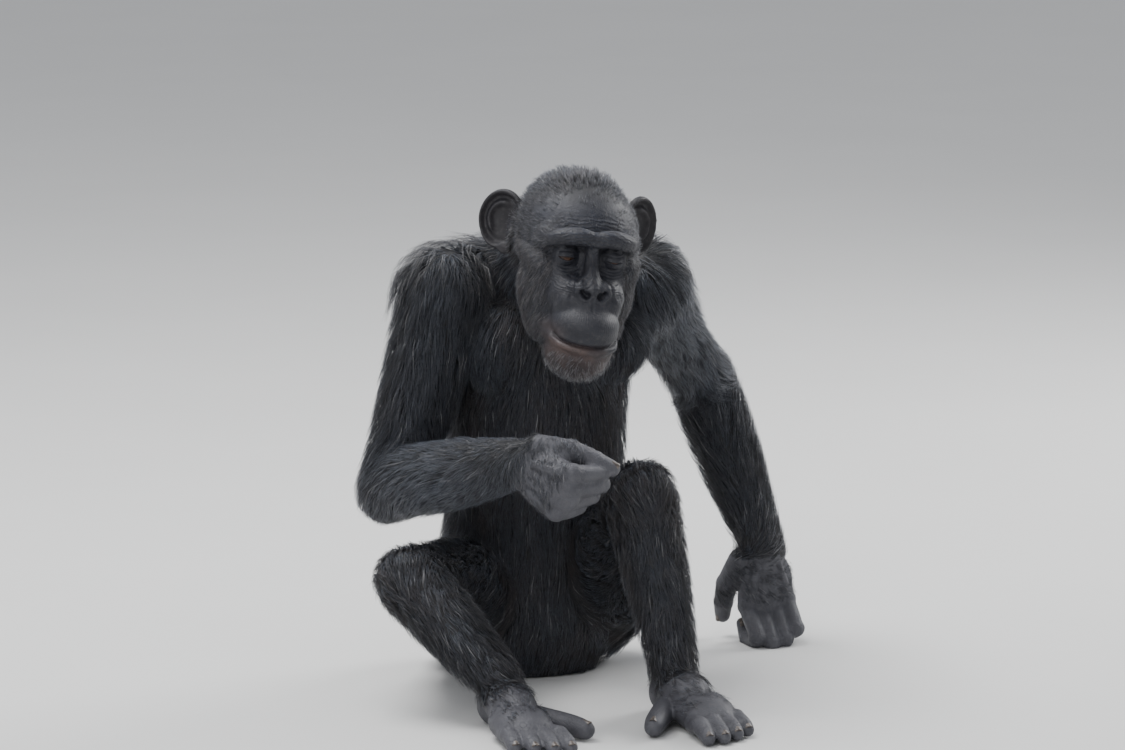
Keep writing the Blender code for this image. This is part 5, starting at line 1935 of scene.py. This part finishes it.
class NodeSheet:
    """The nodes of one material with a Principled shader."""

    def __init__(self, name: str) -> None:
        """Starts a new material."""
        self.material = bpy.data.materials.new(name)
        self.material.use_nodes = True
        self.tree = self.material.node_tree
        self.shader = self.tree.nodes["Principled BSDF"]

    def add(self, kind: str, settings: dict | None = None, inputs: dict | None = None) -> Any:
        """Adds a node.

        Args:
            kind: The node's type.
            settings: Properties, set before its sockets; "stops" fills a ramp.
            inputs: What goes into its sockets, by name or number.
        Returns:
            The node.
        """
        node = self.tree.nodes.new(kind)
        for key, value in (settings or {}).items():
            if key == "stops":
                elements = node.color_ramp.elements
                while len(elements) < len(value):
                    elements.new(0.5)
                for element, (place, colour) in zip(elements, value):
                    element.position = place
                    element.color = (*colour, 1)
            else:
                setattr(node, key, value)
        for key, value in (inputs or {}).items():
            self.feed(node.inputs[key], value)
        return node

    def feed(self, socket: Any, value: Any) -> None:
        """Links a value to a socket, or sets the number or colour on it."""
        if isinstance(value, Value):
            value = value.socket
        if isinstance(value, bpy.types.NodeSocket):
            self.tree.links.new(value, socket)
        elif isinstance(value, (int, float)):
            socket.default_value = value
        else:
            wanted = len(socket.default_value)
            socket.default_value = (*value, 1)[:wanted] if len(value) < wanted else tuple(value)

    def shade(self, inputs: dict[str, Any]) -> Material:
        """Feeds the shader.

        Args:
            inputs: What goes into its sockets, by name.
        Returns:
            The material.
        """
        for name, value in inputs.items():
            self.feed(self.shader.inputs[name], value)
        return self.material

    def noise(self, vector: Any, scale: float, detail: float = 3, rough: float = 0.55) -> Value:
        """Smooth noise between about 0.3 and 0.7.

        Args:
            vector: Where it is read.
            scale: Its lumps to a metre.
            detail: How many finer layers it has.
            rough: How strong they are.
        Returns:
            The noise.
        """
        inputs = {"Vector": vector, "Scale": scale, "Detail": detail, "Roughness": rough}
        return Value(self, self.add("ShaderNodeTexNoise", {}, inputs).outputs["Fac"])

    def cells(self, vector: Any, scale: float, feature: str = "F1") -> Value:
        """The distance to the nearest cell's middle or edge."""
        node = self.add("ShaderNodeTexVoronoi", {"feature": feature}, {"Vector": vector, "Scale": scale})
        return Value(self, node.outputs["Distance"])

    def attribute(self, name: str) -> tuple[Value, Value, Value]:
        """The three numbers that a point carries.

        Args:
            name: The attribute's name.
        Returns:
            The three.
        """
        node = self.add("ShaderNodeAttribute", {"attribute_name": name})
        parts = self.add("ShaderNodeSeparateXYZ", {}, {0: node.outputs["Vector"]})
        return tuple(Value(self, parts.outputs[k]) for k in range(3))

    def number(self, name: str) -> Value:
        """The one number that a point carries under a name."""
        node = self.add("ShaderNodeAttribute", {"attribute_name": name})
        return Value(self, node.outputs["Fac"])

    def object_point(self) -> Any:
        """The place on the object, in metres."""
        return self.add("ShaderNodeTexCoord").outputs["Object"]

    def mixed(self, factor: Any, first: Any, second: Any, blend: str = "MIX") -> Any:
        """Two colours mixed by a number between 0 and 1."""
        node = self.add("ShaderNodeMix", {"data_type": "RGBA", "blend_type": blend, "clamp_factor": True},
                        {0: factor, 6: first, 7: second})
        return node.outputs[2]

    def bump(self, height: Value, distance: float, strength: float = 1.0) -> None:
        """Lets a height tilt the surface."""
        node = self.add("ShaderNodeBump", {}, {"Height": height, "Distance": distance, "Strength": strength})
        self.feed(self.shader.inputs["Normal"], node.outputs["Normal"])


@dataclass(frozen=True)
class SkinFinish:
    """Bare grey skin with pores, wrinkles and freckles, and painted shade along the wrinkles; black where
    the coat covers it, which is also painted shade for the coat.
    """

    face: Point = (0.0135, 0.017, 0.0265)
    forehead: Point = (0.019, 0.0245, 0.04)
    chin: Point = (0.12, 0.078, 0.067)
    ear: Point = (0.022, 0.02, 0.023)
    hand: Point = (0.1, 0.103, 0.12)
    # Dark skin under the coat, painted near black so that it also stands in for the coat's shade.
    under_coat: Point = (0.011, 0.011, 0.013)
    freckle: Point = (0.026, 0.018, 0.017)
    scurf: Point = (0.24, 0.22, 0.22)
    # Painted shade for the grooves of the wrinkles.
    crease: Point = (0.016, 0.013, 0.014)

    def material(self) -> Material:
        """Builds the material."""
        sheet = NodeSheet("bare_skin")
        point = sheet.object_point()
        chin, brow, hands = sheet.attribute("tones")
        bare, knuckle, cup = sheet.number("bare"), sheet.number("knuckle"), sheet.number("cup")
        mottle = sheet.noise(point, 55, 5, 0.6)
        broad = sheet.noise(point, 16, 3)
        tone = sheet.mixed(brow, self.face, self.forehead)
        tone = sheet.mixed(hands, tone, self.hand)
        tone = sheet.mixed(cup * 0.8, tone, self.ear)
        tone = sheet.mixed(chin * broad.between(0.3, 0.62) * 0.95, tone, self.chin)
        spots = 1 - sheet.cells(point, 420).between(0.16, 0.4)
        spots = spots * sheet.noise(point, 120, 2).between(0.42, 0.6)
        tone = sheet.mixed(spots * (chin * 0.75 + 0.18), tone, self.freckle)
        patches = mottle.between(0.35, 0.68)
        tone = sheet.mixed(patches * 0.55, tone, sheet.mixed(1.0, tone, (0.55, 0.55, 0.58), "MULTIPLY"))
        lines = self.wrinkles(sheet, point)
        pale = sheet.noise(point, 240, 3).between(0.5, 0.7) * bare * 0.1
        tone = sheet.mixed(pale, tone, self.scurf)
        # Painted shade: the colour darkens in the wrinkles' grooves and less on their crests; the same
        # heights feed the bump.
        painted_crease_shade = (1 - lines.between(-0.5, 0.9)) * 0.55
        tone = sheet.mixed(painted_crease_shade, tone, self.crease)
        # Under the coat: the skin's own dark colour plus painted shade, so the gaps between strands look
        # shaded.
        tone = sheet.mixed((1 - bare) * 0.96, tone, self.under_coat)
        pores = sheet.cells(point, 820).between(0.05, 0.55)
        grain = sheet.noise(point, 500, 4)
        creases = sheet.cells(point, 150, "DISTANCE_TO_EDGE").between(0.0, 0.1)
        height = pores * 0.22 + grain * 0.3 + lines * 0.55 + creases * (knuckle * 0.7 + 0.05)
        sheet.bump(height, 0.0011, 0.85)
        rough = 0.46 + mottle * 0.18
        return sheet.shade({"Base Color": tone, "Roughness": rough, "Specular IOR Level": 0.42})

    def wrinkles(self, sheet: NodeSheet, point: Any) -> Value:
        """Fine lines: rings round the eyes, fans on the lips and bands on the brow.

        Each is the sine of its attribute's distance, stirred by noise.

        Args:
            sheet: The material's nodes.
            point: The place on the object.
        Returns:
            Their height, above and below 0.
        """
        eye, lip, brow = sheet.attribute("lines")
        eye_much, lip_much, brow_much = sheet.attribute("line_amounts")
        stir = sheet.noise(point, 60, 3) * 14 + sheet.noise(point, 190, 2) * 4
        rings = (eye * (ROUND / 0.003) + stir).sine()
        fans = (lip * (ROUND / 0.0034) + stir * 0.8).sine()
        bands = (brow * (ROUND / 0.0042) + stir * 1.2).sine()
        return rings * eye_much * 0.35 + fans * lip_much * 0.14 + bands * brow_much * 0.35


@dataclass(frozen=True)
class CoatFinish:
    """Glossy black hair with brown and white hairs among it."""

    black: Point = (0.0095, 0.0108, 0.0148)
    brown: Point = (0.062, 0.043, 0.033)
    grey: Point = (0.4, 0.39, 0.39)
    sheen: Point = (0.7, 0.8, 1.0)

    def material(self) -> Material:
        """Builds the material."""
        sheet = NodeSheet("black_coat")
        along, chance, grey = sheet.attribute("strand")
        brown = sheet.number("brown")
        point = sheet.object_point()
        patch = sheet.noise(point, 14, 3).between(0.35, 0.65)
        tone = sheet.mixed(brown * (0.25 + along * 0.75) * (0.5 + patch * 0.8), self.black, self.brown)
        tone = sheet.mixed(chance * 0.55, tone, sheet.mixed(1.0, tone, (0.45, 0.45, 0.48), "MULTIPLY"))
        tone = sheet.mixed(grey * (0.35 + along * 0.65), tone, self.grey)
        return sheet.shade({
            "Base Color": tone, "Roughness": 0.34 + chance * 0.16, "Specular IOR Level": 0.6,
            "Sheen Weight": 0.18, "Sheen Tint": self.sheen,
        })


@dataclass(frozen=True)
class EyeFinish:
    """A wet eye: black pupil, amber-brown iris with spokes, dark rim and brownish white."""

    pupil: float = 0.17
    iris: float = 0.5
    amber: Point = (0.06, 0.021, 0.006)
    umber: Point = (0.016, 0.007, 0.004)
    rim: Point = (0.012, 0.007, 0.005)
    white: Point = (0.035, 0.022, 0.018)
    corner: Point = (0.1, 0.055, 0.045)
    black: Point = (0.002, 0.002, 0.002)

    def material(self) -> Material:
        """Builds the material."""
        sheet = NodeSheet("amber_eye")
        angle = sheet.number("gaze")
        node = sheet.add("ShaderNodeAttribute", {"attribute_name": "spoke"})
        spokes = sheet.noise(node.outputs["Vector"], 9, 4, 0.7).between(0.36, 0.64)
        iris = sheet.mixed(spokes, self.umber, self.amber)
        rim = angle.between(self.iris - 0.12, self.iris)
        iris = sheet.mixed(rim * 0.85, iris, self.rim)
        tone = sheet.mixed(angle.between(self.iris - 0.015, self.iris + 0.03), iris, self.white)
        tone = sheet.mixed(angle.between(0.75, 1.15), tone, self.corner)
        tone = sheet.mixed(1 - angle.between(self.pupil - 0.02, self.pupil + 0.02), tone, self.black)
        return sheet.shade({"Base Color": tone, "Roughness": 0.12, "Specular IOR Level": 0.32})


@dataclass(frozen=True)
class NailFinish:
    """Dark horn with fine lengthways ridges and paler streaks."""

    horn: Point = (0.05, 0.04, 0.036)
    pale: Point = (0.15, 0.125, 0.105)

    def material(self) -> Material:
        """Builds the material."""
        sheet = NodeSheet("dark_horn")
        point = sheet.object_point()
        streaks = sheet.noise(point, 320, 3)
        tone = sheet.mixed(streaks.between(0.42, 0.66), self.horn, self.pale)
        sheet.bump(streaks, 0.0004, 0.5)
        return sheet.shade({"Base Color": tone, "Roughness": 0.3 + streaks * 0.2})


@dataclass
class Studio:
    """A plain pale floor, soft lights and the camera at the photograph's angle."""

    place: Array
    azimuth_deg: float = -15
    elevation_deg: float = 10
    distance: float = 7.0
    lens_mm: float = 194.8
    aim: Point = (0.0305, -0.0082, 0.3468)
    lit: Point = (0, 0, 0.32)
    floor_reach: float = 12
    floor_drop: float = 0.0005

    def build(self) -> None:
        """Sets the floor, the lights and the camera."""
        corners = [(x * self.floor_reach, y * self.floor_reach, -self.floor_drop)
                   for x, y in ((-1, -1), (1, -1), (1, 1), (-1, 1))]
        floor = linked("floor", mesh_of("floor", np.array(corners, float), np.array([[0, 1, 2, 3]])))
        sheet = NodeSheet("pale_floor")
        grain = sheet.noise(sheet.object_point(), 3, 3)
        tone = sheet.mixed(grain, (0.66, 0.66, 0.65), (0.7, 0.7, 0.69))
        floor.data.materials.append(sheet.shade({"Base Color": tone, "Roughness": 0.9}))
        self.light("sky", (-1.0, 0.6, 3.2), 130, 1.8)
        self.light("front", (-1.8, -3.0, 2.0), 55, 2.2)
        self.light("side", (2.4, 1.2, 1.6), 60, 1.2)
        world = bpy.data.worlds.new("studio")
        world.use_nodes = True
        background = world.node_tree.nodes["Background"]
        background.inputs["Color"].default_value = (0.93, 0.95, 1.0, 1)
        background.inputs["Strength"].default_value = 0.62
        bpy.context.scene.world = world
        self.camera()

    def light(self, name: str, spot: Point, watts: float, size: float) -> None:
        """Adds a square light that faces the animal.

        Args:
            name: The light's name.
            spot: Where it is.
            watts: Its power.
            size: Its side.
        """
        lamp = bpy.data.lights.new(name, "AREA")
        lamp.energy = watts
        lamp.size = size
        obj = linked(name, lamp)
        obj.location = spot
        obj.rotation_euler = (Vector(self.lit) - Vector(spot)).to_track_quat("-Z", "Y").to_euler()

    def camera(self) -> None:
        """Adds the camera: from the aim, back by the distance along azimuth and elevation."""
        data = bpy.data.cameras.new("photo")
        data.lens = self.lens_mm
        data.sensor_width = 36
        data.clip_end = 60
        obj = linked("photo", data)
        a, e = math.radians(self.azimuth_deg), math.radians(self.elevation_deg)
        aim = Vector(np.array(self.aim) + self.place)
        back = Vector((math.sin(a) * math.cos(e), -math.cos(a) * math.cos(e), math.sin(e)))
        obj.location = aim + back * self.distance
        obj.rotation_euler = (-back).to_track_quat("-Z", "Y").to_euler()
        bpy.context.scene.camera = obj


def placed(obj: Piece, place: Array, finish: Material) -> None:
    """Moves a mesh over the model's origin and dresses it.

    Args:
        obj: The piece.
        place: How far to move it.
        finish: Its material.
    """
    mesh = obj.data
    set_coordinates(mesh, coordinates(mesh) + place)
    mesh.materials.clear()
    mesh.materials.append(finish)
    mesh.polygons.foreach_set("use_smooth", np.ones(len(mesh.polygons), bool))
    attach(obj, "root")


def main() -> None:
    """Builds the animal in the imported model's frame, then the studio."""
    logging.basicConfig(level=logging.INFO, format="%(message)s")
    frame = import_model()
    low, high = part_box("eye_left")
    place = np.array((low + high) / 2) - HEAD.out(EYES[Side.LEFT].centre)
    place[2] = 0.0
    log.info("the model stands %s from the body frame", np.round(place, 4))

    skin = Skin()
    body = skin.build()
    skin.mark(body.data)
    coat = Coat(body).build() + HeadHair(body).build()
    eyes = Eyeballs().build()
    nails = Nails().build()

    placed(body, place, SkinFinish().material())
    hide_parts(*(name for name in sorted(frame["nodes"]) if not name.startswith("eye")))
    hair = CoatFinish().material()
    for piece in coat:
        placed(piece, place, hair)
    iris = EyeFinish().material()
    for side, eye in zip(EYES, eyes):
        placed(eye, place, iris)
        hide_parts("eye_" + side.word)
    placed(nails, place, NailFinish().material())
    Studio(place).build()
    for piece in (body, *coat, *eyes, nails):
        log.info("%s: %d faces", piece.name, len(piece.data.polygons))


if __name__ == "__main__":
    main()
